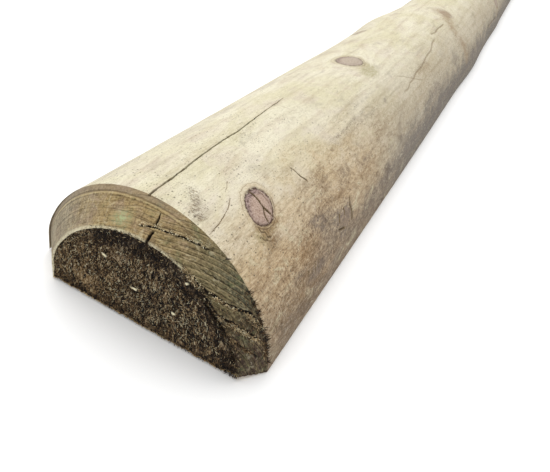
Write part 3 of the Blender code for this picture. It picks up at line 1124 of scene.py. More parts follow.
@dataclass
class Wiring:
    """Adds and links the nodes of one node tree."""

    MIX_FACTOR, MIX_FIRST, MIX_SECOND, MIX_RESULT = 0, 6, 7, 2
    tree: bpy.types.NodeTree
    count: int = 0

    def add(self, kind: str, **settings: object) -> bpy.types.Node:
        """Adds a node.

        Args:
            kind: The node's type.
            **settings: Its properties.

        Returns:
            The new node.
        """
        node = self.tree.nodes.new(kind)
        node.location = (220 * (self.count // 8), -180 * (self.count % 8))
        self.count += 1
        for name, value in settings.items():
            setattr(node, name, value)
        return node

    def feed(self, socket: bpy.types.NodeSocket, value: object) -> None:
        """Links a value to an input, or sets the input's own value.

        Args:
            socket: The input.
            value: A value, a number, or a colour or vector.
        """
        if isinstance(value, Value):
            self.tree.links.new(value.socket, socket)
        elif isinstance(value, tuple) and len(socket.default_value) == 4:
            socket.default_value = (*value, 1.0)
        else:
            socket.default_value = value

    def outputs_of(self, node: bpy.types.Node) -> dict[str, Value]:
        """A node's outputs by name."""
        return {socket.name: Value(self, socket) for socket in node.outputs}

    def attribute(self, name: str, vector: bool = False) -> Value:
        """A value that the mesh holds, as a number or a vector."""
        node = self.add("ShaderNodeAttribute", attribute_type="GEOMETRY", attribute_name=name)
        return self.outputs_of(node)["Vector" if vector else "Fac"]

    def object_place(self) -> Value:
        """The place on the log in millimetres."""
        return self.stretch(self.outputs_of(self.add("ShaderNodeTexCoord"))["Object"], (1.0 / MM,) * 3)

    def value(self, kind: str, output: int, feeds: dict[int | str, object], **settings: object) -> Value:
        """Adds a node and feeds its inputs.

        Args:
            kind: The node's type.
            output: The number of the output that is wanted.
            feeds: What its inputs are fed, by number or name.
            **settings: Its properties.

        Returns:
            The output.
        """
        node = self.add(kind, **settings)
        for place, entry in feeds.items():
            self.feed(node.inputs[place], entry)
        return Value(self, node.outputs[output])

    def stretch(self, vector: Value, factor: Triple) -> Value:
        """A vector with each coordinate multiplied by its own factor."""
        return self.value("ShaderNodeVectorMath", 0, {0: vector, 1: factor}, operation="MULTIPLY")

    def parts(self, vector: Value) -> tuple[Value, ...]:
        """The coordinates of a vector.

        Args:
            vector: The vector.

        Returns:
            Its three coordinates.
        """
        node = self.add("ShaderNodeSeparateXYZ")
        self.feed(node.inputs[0], vector)
        return tuple(self.outputs_of(node).values())

    def mix(self, share: object, first: object, second: object, blend: str = "MIX") -> Value:
        """A mix of two colours, with a share of the second one."""
        feeds = {self.MIX_FACTOR: share, self.MIX_FIRST: first, self.MIX_SECOND: second}
        return self.value("ShaderNodeMix", self.MIX_RESULT, feeds, data_type="RGBA", blend_type=blend)

    def ramp(self, value: Value, stops: tuple[tuple[float, Colour], ...]) -> Value:
        """A colour for each value.

        Args:
            value: The value, from 0 to 1.
            stops: Pairs of a value and its colour.

        Returns:
            The colour.
        """
        node = self.add("ShaderNodeValToRGB")
        elements = node.color_ramp.elements
        while len(elements) < len(stops):
            elements.new(0.5)
        for element, (place, colour) in zip(elements, stops):
            element.position = place
            element.color = (*colour, 1.0)
        self.feed(node.inputs[0], value)
        return Value(self, node.outputs[0])

    def noise(
        self, place: Value, size: Triple, detail: float = 4, roughness: float = 0.55, distortion: float = 0
    ) -> Value:
        """Fractal noise from 0 to 1.

        Args:
            place: The coordinates in millimetres.
            size: The size of the largest features in millimetres.
            detail: How many finer layers it has.
            roughness: How strong the finer layers are.
            distortion: How far it is bent.

        Returns:
            The noise.
        """
        feeds = {
            "Vector": self.stretch(place, tuple(1.0 / s for s in size)),
            "Scale": 1.0,
            "Detail": detail,
            "Roughness": roughness,
            "Distortion": distortion,
        }
        return self.value("ShaderNodeTexNoise", 0, feeds, noise_dimensions="3D")

    def dots(self, place: Value, size: Triple, largest: float, share: float) -> Value:
        """Scattered dots of uneven size, 1 in their middles.

        Args:
            place: The coordinates in millimetres.
            size: How far apart the dots are.
            largest: The radius of the largest dots, as a share of that distance.
            share: The share of the places that have a dot.

        Returns:
            The mask of dots.
        """
        node = self.add("ShaderNodeTexVoronoi", feature="F1", voronoi_dimensions="2D")
        self.feed(node.inputs["Vector"], self.stretch(place, tuple(1.0 / s for s in size)))
        self.feed(node.inputs["Scale"], 1.0)
        chance = self.value("ShaderNodeSeparateColor", 0, {0: Value(self, node.outputs["Color"])})
        radius = chance.ease(1.0 - share, 1.0, 0.001, largest)
        return (Value(self, node.outputs["Distance"]) / radius).ease(1.0, 0.45)

    def join(self, first: Value, second: Value) -> Value:
        """A vector made of two numbers, with a third of 0."""
        return self.value("ShaderNodeCombineXYZ", 0, {0: first, 1: second})

    def group(self, tree: bpy.types.NodeTree, **values: object) -> dict[str, Value]:
        """Places a node group.

        Args:
            tree: The group.
            **values: What its inputs are fed, by name.

        Returns:
            The group's outputs by name.
        """
        node = self.add("ShaderNodeGroup", node_tree=tree)
        for name, value in values.items():
            self.feed(node.inputs[name], value)
        return self.outputs_of(node)

    def dress(
        self,
        shader: bpy.types.Node,
        colour: Value,
        roughness: object,
        height: Value,
        depth: float,
        strength: float,
    ) -> None:
        """Gives a shader its colour, its roughness and a fine relief.

        Args:
            shader: The material's shader.
            colour: The colour.
            roughness: The roughness.
            height: The height of the fine relief.
            depth: What a height of 1 stands for, in metres.
            strength: How much of the relief is used.
        """
        normal = self.value("ShaderNodeBump", 0, {"Strength": strength, "Distance": depth, "Height": height})
        for name, entry in (("Base Color", colour), ("Roughness", roughness), ("Normal", normal)):
            self.feed(shader.inputs[name], entry)


@dataclass
class Coat:
    """A colour that is built up layer by layer, and the shadow's tint that darkens it."""

    wiring: Wiring
    colour: Value
    shadow: Colour

    def lay(self, share: object, tint: object) -> None:
        """Lays some of a tint over the colour."""
        self.colour = self.wiring.mix(share, self.colour, tint)

    def darken(self, share: object, tint: Colour | None = None) -> None:
        """Multiplies some of the colour by the shadow's tint, or by another."""
        self.lay(share, self.wiring.mix(1.0, self.colour, tint or self.shadow, "MULTIPLY"))


class SharedGroups:
    """The node groups that several of the log's materials use, each made once."""

    @classmethod
    @cache
    def growth_rings(cls) -> bpy.types.NodeTree:
        """The growth rings: a pale broad band of early wood and a dark narrow line of late wood in each.

        Returns:
            A group with inputs Ring, Pitch, Wander and Place, and outputs Late and Wave.
        """
        tree, wiring, given, end = cls._new("growth_rings", ("Ring", "Pitch", "Wander"), ("Late", "Wave"))
        place = given["Place"]
        wander = wiring.noise(place, (6, 30, 6), 3) - 0.5
        slow = wander * given["Wander"]
        growth = given["Ring"] + slow
        years = growth / given["Pitch"]
        share = years.math("FRACT")
        rising = share.ease(0.5, 0.88)
        falling = share.ease(1, 0.92)
        wiring.feed(end.inputs["Late"], rising * falling)
        wiring.feed(end.inputs["Wave"], (years * math.tau).math("SINE"))
        return tree

    @classmethod
    @cache
    def mould_specks(cls) -> bpy.types.NodeTree:
        """Specks of mould in drifts: round ones and short dashes along the grain.

        Returns:
            A group with inputs Amount and Place, and the output Specks.
        """
        tree, wiring, given, end = cls._new("mould_specks", ("Amount",), ("Specks",))
        place = given["Place"]
        large = wiring.dots(place, (2.4, 2.8, 1), 0.17, 0.5)
        small = wiring.dots(place, (0.9, 1.05, 1), 0.3, 0.6)
        dashes = wiring.dots(place, (1, 3.4, 1), 0.2, 0.5)
        drift = wiring.noise(place, (8, 13, 8), 5, 0.7)
        drifted = drift + given["Amount"] * 0.3
        few = large * drifted.ease(0.46, 0.62)
        many = small * drifted.ease(0.5, 0.72)
        lined = dashes * drifted.ease(0.5, 0.68)
        most = few.larger(many * 0.75)
        wiring.feed(end.inputs["Specks"], most.larger(lined * 0.7))
        return tree

    @classmethod
    def _new(
        cls, name: str, inputs: tuple[str, ...], outputs: tuple[str, ...]
    ) -> tuple[bpy.types.NodeTree, Wiring, dict[str, Value], bpy.types.Node]:
        """Starts a node group that has a Place input.

        Args:
            name: The group's name.
            inputs: Its number inputs.
            outputs: Its number outputs.

        Returns:
            The group's tree, its wiring, what it is given, and its output node.
        """
        tree = bpy.data.node_groups.new(name, "ShaderNodeTree")
        for entry in inputs:
            tree.interface.new_socket(entry, in_out="INPUT", socket_type="NodeSocketFloat")
        tree.interface.new_socket("Place", in_out="INPUT", socket_type="NodeSocketVector")
        for entry in outputs:
            tree.interface.new_socket(entry, in_out="OUTPUT", socket_type="NodeSocketFloat")
        wiring = Wiring(tree)
        return (tree, wiring, wiring.outputs_of(wiring.add("NodeGroupInput")), wiring.add("NodeGroupOutput"))


def new_material(name: str) -> tuple[bpy.types.Material, Wiring, bpy.types.Node]:
    """Starts a material.

    Args:
        name: The material's name.

    Returns:
        The material, the wiring of its nodes, and its shader.
    """
    material = bpy.data.materials.new(name)
    material.use_nodes = True
    shader = material.node_tree.nodes["Principled BSDF"]
    shader.location = (2600, 0)
    material.node_tree.nodes["Material Output"].location = (2900, 0)
    shader.inputs["Specular IOR Level"].default_value = 0.28
    return material, Wiring(material.node_tree), shader


@dataclass(frozen=True)
class PeeledSide:
    """The turned side: cream wood, greyed and speckled, with flush knots."""

    cream: Colour = srgb(222, 216, 193)
    straw: Colour = srgb(210, 203, 172)
    rose: Colour = srgb(206, 194, 178)
    pale: Colour = srgb(206, 199, 178)
    tan: Colour = srgb(196, 168, 130)
    drab: Colour = srgb(180, 169, 148)
    # The tint of the painted shade along the lower edge of the right side.
    low_shade_umber: Colour = srgb(116, 98, 82)
    # The tint of the painted shade low on the right of the far part.
    slate: Colour = srgb(112, 106, 100)
    grain: Colour = srgb(168, 144, 108)
    shadow: Colour = (0.5, 0.44, 0.38)
    mould: Colour = srgb(74, 66, 52)
    grey: Colour = srgb(120, 109, 100)
    brown: Colour = srgb(140, 112, 78)
    green: Colour = srgb(150, 141, 98)
    crack_edge: Colour = srgb(122, 104, 76)
    crack: Colour = srgb(80, 64, 46)
    knot_pink: Colour = srgb(178, 154, 138)
    knot_mauve: Colour = srgb(146, 124, 120)
    knot_grey: Colour = srgb(172, 156, 142)
    knot_dark: Colour = srgb(112, 86, 62)
    knot_rim: Colour = srgb(70, 48, 38)

    def material(self) -> bpy.types.Material:
        """Makes the finish.

        Returns:
            The material.
        """
        material, wiring, shader = new_material("peeled_side")
        place = wiring.attribute("unrolled", vector=True)
        rings = wiring.group(
            SharedGroups.growth_rings(), Ring=wiring.attribute("ring"), Pitch=1.6, Wander=0.9, Place=place
        )
        fibres = wiring.noise(place, (0.45, 5.5, 1), 4, 0.66, 0.3)
        mottle = wiring.noise(place, (1.2, 3.4, 1), 5, 0.72, 0.5)
        pores = wiring.noise(place, (0.45, 1.1, 0.5), 3, 0.7)
        coat, low = self.bare_wood(wiring, place, rings)
        self.texture(coat, place, low, fibres, mottle, pores)
        self.weather(coat, place, mottle)
        knot_height = self.knots(coat, place)
        # The crack colours are partly the darker wood inside the cracks and partly painted shade in and just
        # beside them.
        dark = wiring.attribute("crack")
        coat.lay(dark.ease(0.05, 0.5), self.crack_edge)
        coat.lay(dark.ease(0.45, 0.95), self.crack)
        height = fibres * 0.4 + knot_height - rings["Late"] * 0.12 + mottle * 0.6 + pores * 0.5
        roughness = mottle.ease(0.3, 0.7, 0.66, 0.88)
        wiring.dress(shader, coat.colour, roughness, height, 0.00025, 0.8)
        return material

    def bare_wood(self, wiring: Wiring, place: Value, rings: dict[str, Value]) -> tuple[Coat, Value]:
        """The wood's colour: cream, yellowish and rosy by turns and tan low on the right, darkened by painted
        shade at the right's lower edge.

        Args:
            wiring: The material's wiring.
            place: The place on the unrolled side.
            rings: The growth rings.

        Returns:
            The colour, and how far a place lies down the right side.
        """
        broad = wiring.noise(place, (24, 60, 24), 4, 0.6, 0.8)
        tints = wiring.noise(place, (11, 19, 11), 4, 0.62, 0.7)
        coat = Coat(wiring, wiring.mix(broad.ease(0.38, 0.64), self.cream, self.straw), self.shadow)
        coat.lay(tints.ease(0.46, 0.68, 0, 0.55), self.rose)
        height = wiring.attribute("turn") + (tints - 0.5) * 46
        coat.lay(height.ease(108, 142, 0, 0.85), self.pale)
        low = height.ease(82, 34)
        _, along, _ = wiring.parts(place)
        tan = wiring.mix(along.ease(85, 190, 0, 0.9), self.tan, self.drab)
        coat.lay(low * broad.ease(0.3, 0.7, 0.7, 0.95), tan)
        # Painted shade: umber towards the lower edge on the right, where less light reaches.
        coat.lay(height.ease(34, 6, 0, 0.8), self.low_shade_umber)
        # Painted shade: slate grey low on the right side of the far part of the log.
        shaded = height.ease(40, 14) * along.ease(100, 230)
        coat.lay(shaded * 0.8, self.slate)
        coat.lay(height.ease(132, 166, 0, 0.9), self.drab)
        coat.lay(rings["Late"] * tints.ease(0.3, 0.75, 0.06, 0.26), self.grain)
        return coat, low

    def texture(
        self, coat: Coat, place: Value, low: Value, fibres: Value, mottle: Value, pores: Value
    ) -> None:
        """The fine unevenness of the wood, which is strongest low on the right.

        Args:
            coat: The wood's own colour, which it adds to.
            place: The place on the unrolled side.
            low: How far a place lies down the right side.
            fibres: The noise of the lengthwise fibres.
            mottle: The noise of the blotches.
            pores: The noise of the finest marks.
        """
        wiring = coat.wiring
        _, along, _ = wiring.parts(place)
        low = low * along.ease(95, 210, 1, 0.3)
        blotched = mottle.ease(0.46, 0.66) * low.ease(0, 1, 0.15, 0.62)
        coat.darken(blotched)
        coat.lay(mottle.ease(0.46, 0.3, 0, 0.4), self.cream)
        patches = wiring.noise(place, (6, 12, 1), 5, 0.66, 1)
        patched = patches.ease(0.5, 0.66) * low.ease(0, 1, 0.08, 0.66)
        coat.darken(patched)
        lit = patches.ease(0.46, 0.3) * low.ease(0, 1, 0.1, 0.6)
        coat.lay(lit, self.straw)
        coat.darken(pores.ease(0.5, 0.7, 0, 0.5))
        coat.lay(pores.ease(0.46, 0.3, 0, 0.45), self.pale)
        lined = fibres.ease(0.48, 0.7) * low.ease(0, 1, 0.26, 0.6)
        coat.darken(lined)
        long_streaks = wiring.noise(place, (3.4, 46, 1), 5, 0.6, 0.3)
        coat.darken(long_streaks.ease(0.5, 0.7, 0, 0.3))
        curl = wiring.noise(place, (4.5, 6.5, 4.5), 3, 0.55, 1.4)
        drift = wiring.noise(place, (13, 20, 13), 3, 0.6)
        peeled = curl.line(0.5, 0.022) * drift.ease(0.46, 0.6)
        coat.darken(peeled * low.ease(0, 1, 0.2, 0.75))

    def weather(self, coat: Coat, place: Value, mottle: Value) -> None:
        """What weather has done to the wood: stains, smudges and specks of mould.

        Args:
            coat: The uneven colour of the wood, which it adds to.
            place: The place on the unrolled side.
            mottle: The noise of the blotches.
        """
        wiring = coat.wiring
        _, along, _ = wiring.parts(place)
        soft = wiring.noise(place, (8, 15, 1), 5, 0.66, 0.6) * 0.6 + 0.17
        blots = wiring.mix(along.ease(190, 330), mottle, soft)
        for kind, tint, most in (
            (StainKind.GREEN, self.green, 0.6),
            (StainKind.BROWN, self.brown, 0.72),
            (StainKind.GREY, self.grey, 0.76),
        ):
            amount = wiring.attribute(kind.value)
            edge = blots + amount * 0.14
            share = edge.ease(0.42, 0.7, 0.08, most) * amount.ease(0, 0.8)
            coat.lay(share, tint)
        smudge = wiring.noise(place, (9, 22, 9), 5, 0.62, 0.8)
        coat.lay(smudge.ease(0.56, 0.76, 0, 0.3), self.grey)
        stained = wiring.attribute(StainKind.GREY.value) + wiring.attribute(StainKind.BROWN.value)
        scores = wiring.noise(place, (1.9, 0.7, 1), 4, 0.7, 1.2)
        scored = scores.ease(0.5, 0.6) * stained.ease(0.12, 0.45)
        near = along.ease(170, 60)
        coat.darken(scored * near)
        speckled = stained + near * 0.3
        specks = wiring.group(SharedGroups.mould_specks(), Amount=speckled, Place=place)
        coat.lay(specks["Specks"] * 0.8, self.mould)

    def knots(self, coat: Coat, place: Value) -> Value:
        """The knots: a mottled heart, an uneven dark rim that is double in places, and a halo of bent grain.

        Args:
            coat: The colour round the knots, which it adds to.
            place: The place on the unrolled side.

        Returns:
            The height of the knots' rims.
        """
        wiring = coat.wiring
        across, lengthwise, show = wiring.parts(wiring.attribute("knot_place", vector=True))
        uneven = wiring.noise(place, (5, 6, 5), 4, 0.62) - 0.5
        from_middle = (across * across + lengthwise * lengthwise) ** 0.5
        away = from_middle + uneven * 0.42
        ragged = wiring.noise(place, (1.1, 1.3, 1.1), 4, 0.72)
        flecks = wiring.noise(place, (0.45, 0.6, 0.5), 4, 0.7)
        tone = wiring.attribute("knot_tone")
        heart = Coat(wiring, wiring.mix(tone.ease(0.1, 0.5), self.knot_pink, self.knot_grey), self.shadow)
        heart.lay(tone.ease(0.5, 1), self.knot_dark)
        left = across.ease(-0.1, 0.8)
        mauve = away.ease(0.5, 0.85, 0.1, 0.85) * left.ease(0, 1, 0.35, 1)
        heart.lay(mauve, self.knot_mauve)
        heart.darken(ragged.ease(0.48, 0.66, 0, 0.6))
        heart.lay(ragged.ease(0.45, 0.28, 0, 0.4), self.rose)
        heart.darken(flecks.ease(0.5, 0.62, 0, 0.7))
        heart.lay(flecks.ease(0.46, 0.34, 0, 0.45), self.rose)
        halo = away.ease(0.98, 1.08) * away.ease(1.6, 1.15)
        halo = halo * (ragged.ease(0.3, 0.7, 0.1, 0.5) * show)
        coat.lay(halo, self.grain)
        outer = away.line(1.3, 0.045) * across.ease(0.1, 0.7)
        coat.darken(outer * (show * 0.7))
        coat.lay(away.ease(1.04, 0.94) * show, heart.colour)
        rim = away.line(1, 0.13) * ragged.ease(0.34, 0.54, 0.25, 1)
        inner = away.line(0.8, 0.08) * ragged.ease(0.42, 0.56, 0, 0.9) * left
        doubled = away.line(1.17, 0.06) * across.ease(0.2, -0.6, 0, 0.6)
        rim = rim.larger(inner).larger(doubled) * show**2.5
        coat.lay(rim, self.knot_rim)
        return rim * -0.6


@dataclass(frozen=True)
class TurnedChamfer:
    """The chamfer: rings cut at a slant, ridged and torn low on the right, smoother on the left."""

    olive: Colour = srgb(154, 132, 90)
    grey: Colour = srgb(144, 133, 112)
    drab: Colour = srgb(112, 102, 72)
    slate: Colour = srgb(88, 88, 70)
    brown: Colour = srgb(68, 50, 41)
    pale: Colour = srgb(190, 172, 128)
    rose: Colour = srgb(152, 130, 108)
    moss: Colour = srgb(112, 116, 80)
    worn: Colour = srgb(208, 200, 170)
    lichen: Colour = srgb(158, 168, 126)
    plum: Colour = srgb(136, 122, 104)
    shadow: Colour = (0.22, 0.18, 0.13)
    crack: Colour = srgb(26, 20, 13)

    def material(self) -> bpy.types.Material:
        """Makes the finish.

        Returns:
            The material.
        """
        material, wiring, shader = new_material("turned_chamfer")
        place = wiring.object_place()
        turn = wiring.attribute("turn")
        ring = wiring.attribute("ring")
        rim = wiring.attribute("rim_distance")
        rings = wiring.group(SharedGroups.growth_rings(), Ring=ring, Pitch=1.15, Wander=0.12, Place=place)
        broad = wiring.noise(place, (7, 7, 7), 5, 0.65, 0.5)
        fine = wiring.noise(place, (0.8, 0.8, 0.8), 6, 0.75)
        along_ring = wiring.join(ring, turn * 0.8)
        banded = wiring.noise(along_ring, (0.36, 20, 1), 5, 0.66)
        angle = turn + (broad - 0.5) * 46
        coat = self.tones(wiring, angle, rim, broad)
        contrast = angle.ease(118, 60, 0.3, 1)
        late = rings["Late"] * banded.ease(0.3, 0.56, 0.35, 1) * contrast
        split = banded.line(0.53, 0.02) * contrast
        coat.darken(late.larger(split))
        streak = banded.ease(0.5, 0.7) * (contrast * 0.5)
        coat.darken(streak)
        # Painted highlight: a pale line on one side of each dark late-wood line, for the lit face of the ring
        # ridges.
        beside = rings["Wave"].ease(-0.5, -1, 0, 0.36) * contrast * angle.ease(30, 52, 0.5, 1)
        coat.lay(beside, self.pale)
        bright = banded.ease(0.46, 0.3) * (contrast * 0.4)
        coat.lay(bright, self.pale)
        coat.darken(fine.ease(0.5, 0.62, 0, 0.62))
        coat.lay(fine.ease(0.47, 0.34, 0, 0.4), self.pale)
        smears = wiring.noise(wiring.join(turn * 0.8, rim), (1.1, 9, 1), 4, 0.6)
        smeared = smears.ease(0.54, 0.74) * turn.ease(84, 112, 0, 0.48)
        coat.lay(smeared, self.worn)
        coat.darken(smears.ease(0.46, 0.26, 0, 0.3))
        turning = wiring.noise(wiring.join(rim, turn * 0.8), (0.32, 11, 1), 4, 0.6)
        coat.darken(turning.ease(0.5, 0.72, 0, 0.4))
        coat.lay(turning.ease(0.46, 0.3, 0, 0.3), self.pale)
        mottle = wiring.noise(place, (2.2, 2.2, 2.2), 5, 0.72, 0.7)
        coat.darken(mottle.ease(0.5, 0.66, 0, 0.4))
        coat.lay(mottle.ease(0.46, 0.32, 0, 0.28), self.worn)
        patch = turn.line(99.5, 7) * rim.line(-3.2, 2.8)
        grown = patch * fine.ease(0.47, 0.56, 0.2, 0.95)
        coat.lay(grown, self.lichen)
        self.edges(coat, turn, rim, fine)
        # Painted shade, near black, in the splits and cracks of the chamfer, along with the darker wood
        # inside them.
        coat.lay(wiring.attribute("crack").ease(0.1, 0.8), self.crack)
        height = rings["Late"] * contrast * -0.8 + banded * contrast + fine * 0.8
        wiring.dress(shader, coat.colour, fine.ease(0.2, 0.8, 0.74, 0.94), height, 0.00028, 0.9)
        return material

    def tones(self, wiring: Wiring, angle: Value, rim: Value, broad: Value) -> Coat:
        """The broad colours: grey left, olive over the crown, drab and slate to the right, brown low down.

        Args:
            wiring: The material's wiring.
            angle: The angle round the end, unevenly shifted.
            rim: The distance inward from the inner edge.
            broad: The noise of the broad patches.

        Returns:
            The colour.
        """
        coat = Coat(wiring, wiring.mix(angle.ease(104, 140), self.olive, self.grey), self.shadow)
        coat.lay(broad.ease(0.48, 0.66, 0, 0.6), self.rose)
        coat.lay(angle.ease(84, 56), self.drab)
        outer = rim.ease(-3.5, -7) * angle.ease(62, 46)
        coat.lay(outer * 0.85, self.slate)
        coat.lay(angle.ease(44, 22, 0, 0.95), self.brown)
        moss = broad.ease(0.46, 0.34) * angle.ease(118, 96, 0, 0.6)
        coat.lay(moss, self.moss)
        return coat

    def edges(self, coat: Coat, turn: Value, rim: Value, fine: Value) -> None:
        """The turning lines beside the outer edge, and the worn line along the inner one.

        Args:
            coat: The colour so far, which it adds to.
            turn: The angle round the end.
            rim: The distance inward from the inner edge.
            fine: The noise of the fine marks.
        """
        wiring = coat.wiring
        wavy = rim + fine * 0.5
        outermost = wavy.ease(-7.9, -8.3) * turn.ease(70, 88, 0, 0.45)
        coat.lay(outermost, self.plum)
        turned = turn.ease(62, 84, 0, 0.55)
        for distance, half in ((-8.2, 0.28), (-7.3, 0.2), (-4.4, 0.16)):
            coat.darken(wavy.line(distance, half) * turned)
        light = wavy.line(-7.75, 0.3) * (turned * 0.8)
        coat.lay(light, self.pale)
        worn = wavy.ease(-0.8, 0, 0, 0.95) * fine.ease(0.58, 0.42, 0.4, 1)
        coat.lay(worn * turn.ease(52, 76), self.worn)


@dataclass(frozen=True)
class RoughEnd:
    """The crosscut: dark, damp and rough, with torn fibres and a blue-black band inside its rim."""

    black: Colour = srgb(16, 12, 8)
    brown: Colour = srgb(76, 58, 40)
    mid: Colour = srgb(134, 108, 76)
    straw: Colour = srgb(204, 186, 150)
    warm: Colour = srgb(124, 98, 58)
    band: Colour = (0.3, 0.33, 0.4)
    shadow: Colour = (0.2, 0.17, 0.14)

    def material(self) -> bpy.types.Material:
        """Makes the finish.

        Returns:
            The material.
        """
        material, wiring, shader = new_material("rough_end")
        place = wiring.object_place()
        turn = wiring.attribute("turn")
        ring = wiring.attribute("ring")
        rim = wiring.attribute("rim_distance")
        lumps = wiring.noise(place, (6, 6, 6), 5, 0.6)
        strokes = wiring.noise(place, (0.6, 1.5, 1.5), 4, 0.72, 0.7)
        fuzz = wiring.noise(place, (0.8, 0.8, 0.8), 5, 0.75, 0.4)
        bent = wiring.join(ring, turn * 0.7)
        arcs = wiring.noise(bent, (0.9, 8, 1), 5, 0.68)
        sideways = turn.ease(66, 34).larger(turn.ease(118, 150, 0, 0.6))
        texture = wiring.mix(sideways * 0.6, strokes, arcs)
        mixed = wiring.mix(0.3, texture, fuzz)
        # Painted shade and light: deeper places of the end's relief are coloured darker and higher ones
        # paler.
        raised = wiring.attribute("relief").ease(1.2, 0.55, -0.035, 0.03)
        patchy = (lumps - 0.46) * 0.07
        mixed = mixed + raised + patchy
        stops = ((0.45, self.black), (0.49, self.brown), (0.54, self.mid), (0.61, self.straw))
        coat = Coat(wiring, wiring.ramp(mixed, stops), self.shadow)
        left = turn.ease(95, 135, 0, 0.4) * mixed.ease(0.42, 0.55)
        coat.lay(left, self.warm)
        edge = rim + (lumps * 9 + texture * 9)
        band = edge.ease(18.5, 10.5) * turn.ease(150, 100, 0.3, 0.82)
        coat.darken(band, self.band)
        wedge = turn + lumps * 30
        coat.darken(wedge.line(108, 22) * 0.45, self.band)
        # Painted shade: the end is darker within 4 mm of its lower edge.
        _, _, height = wiring.parts(place)
        coat.darken(height.ease(4, 0.5, 0, 0.75))
        # Painted shade, black, in the cracks of the end, along with the darker wood inside them.
        coat.lay(wiring.attribute("crack").ease(0.1, 0.8), self.black)
        wiring.dress(shader, coat.colour, 0.95, mixed, 0.0016, 1)
        return material


@dataclass(frozen=True)
class SawnFace:
    """The sawn face: tan wood cut along its grain, with saw marks across it and grime along its edges."""

    tan: Colour = srgb(196, 168, 120)
    pale: Colour = srgb(216, 194, 150)
    grain: Colour = srgb(146, 112, 70)
    grime: Colour = srgb(116, 100, 76)
    crack: Colour = srgb(52, 40, 26)

    def material(self) -> bpy.types.Material:
        """Makes the finish.

        Returns:
            The material.
        """
        material, wiring, shader = new_material("sawn_face")
        place = wiring.object_place()
        rings = wiring.group(
            SharedGroups.growth_rings(), Ring=wiring.attribute("ring"), Pitch=2.6, Wander=1.2, Place=place
        )
        streaks = wiring.noise(place, (1.2, 40, 1.2), 6, 0.62, 0.2)
        broad = wiring.noise(place, (30, 120, 30), 5, 0.6, 0.5)
        colour = wiring.mix(broad.ease(0.35, 0.7), self.pale, self.tan)
        colour = wiring.mix(rings["Late"] * 0.55, colour, self.grain)
        colour = wiring.mix(streaks.ease(0.35, 0.75, 0, 0.4), colour, self.grain)
        strokes = wiring.noise(place, (60, 1.4, 60), 3, 0.6, 0.3)
        colour = wiring.mix(strokes.ease(0.5, 0.72, 0, 0.35), colour, self.grime)
        colour = wiring.mix(broad.ease(0.56, 0.8, 0, 0.7), colour, self.grime)
        specks = wiring.group(SharedGroups.mould_specks(), Amount=0.25, Place=place)
        colour = wiring.mix(specks["Specks"] * 0.5, colour, self.crack)
        height = strokes + streaks * 0.6
        wiring.dress(shader, colour, streaks.ease(0.2, 0.8, 0.72, 0.9), height, 0.0004, 0.9)
        return material


@dataclass(frozen=True)
class FibreFinish:
    """Torn fibres, from nearly black to pale straw."""

    black: Colour = srgb(24, 25, 28)
    dark: Colour = srgb(44, 33, 22)
    brown: Colour = srgb(102, 76, 48)
    straw: Colour = srgb(196, 172, 130)
    pale: Colour = srgb(228, 220, 188)

    def material(self) -> bpy.types.Material:
        """Makes the finish.

        Returns:
            The material.
        """
        material, wiring, shader = new_material("torn_fibres")
        tint = wiring.attribute("tint")
        uneven = wiring.noise(wiring.object_place(), (0.8, 0.8, 0.8), 3)
        shade = tint + (uneven - 0.5) * 0.3
        shades = (self.black, self.dark, self.brown, self.straw, self.pale)
        stops = tuple(zip((0, 0.12, 0.38, 0.75, 1), shades))
        roughness = uneven.ease(0.2, 0.8, 0.8, 0.95)
        wiring.dress(shader, wiring.ramp(shade, stops), roughness, uneven, 0.0001, 0.6)
        return material


@dataclass(frozen=True)
class Fibre:
    """One torn fibre: where its foot is, which way it points, and its size and shade."""

    foot: Vector
    heading: Vector
    length: float
    thickness: float
    tint: float


def pointing(angle: float, lengthwise: float) -> Vector:
    """A direction out at an angle in degrees, which also leans along the log."""
    turned = math.radians(angle)
    return Vector((math.cos(turned), lengthwise, math.sin(turned))).normalized()


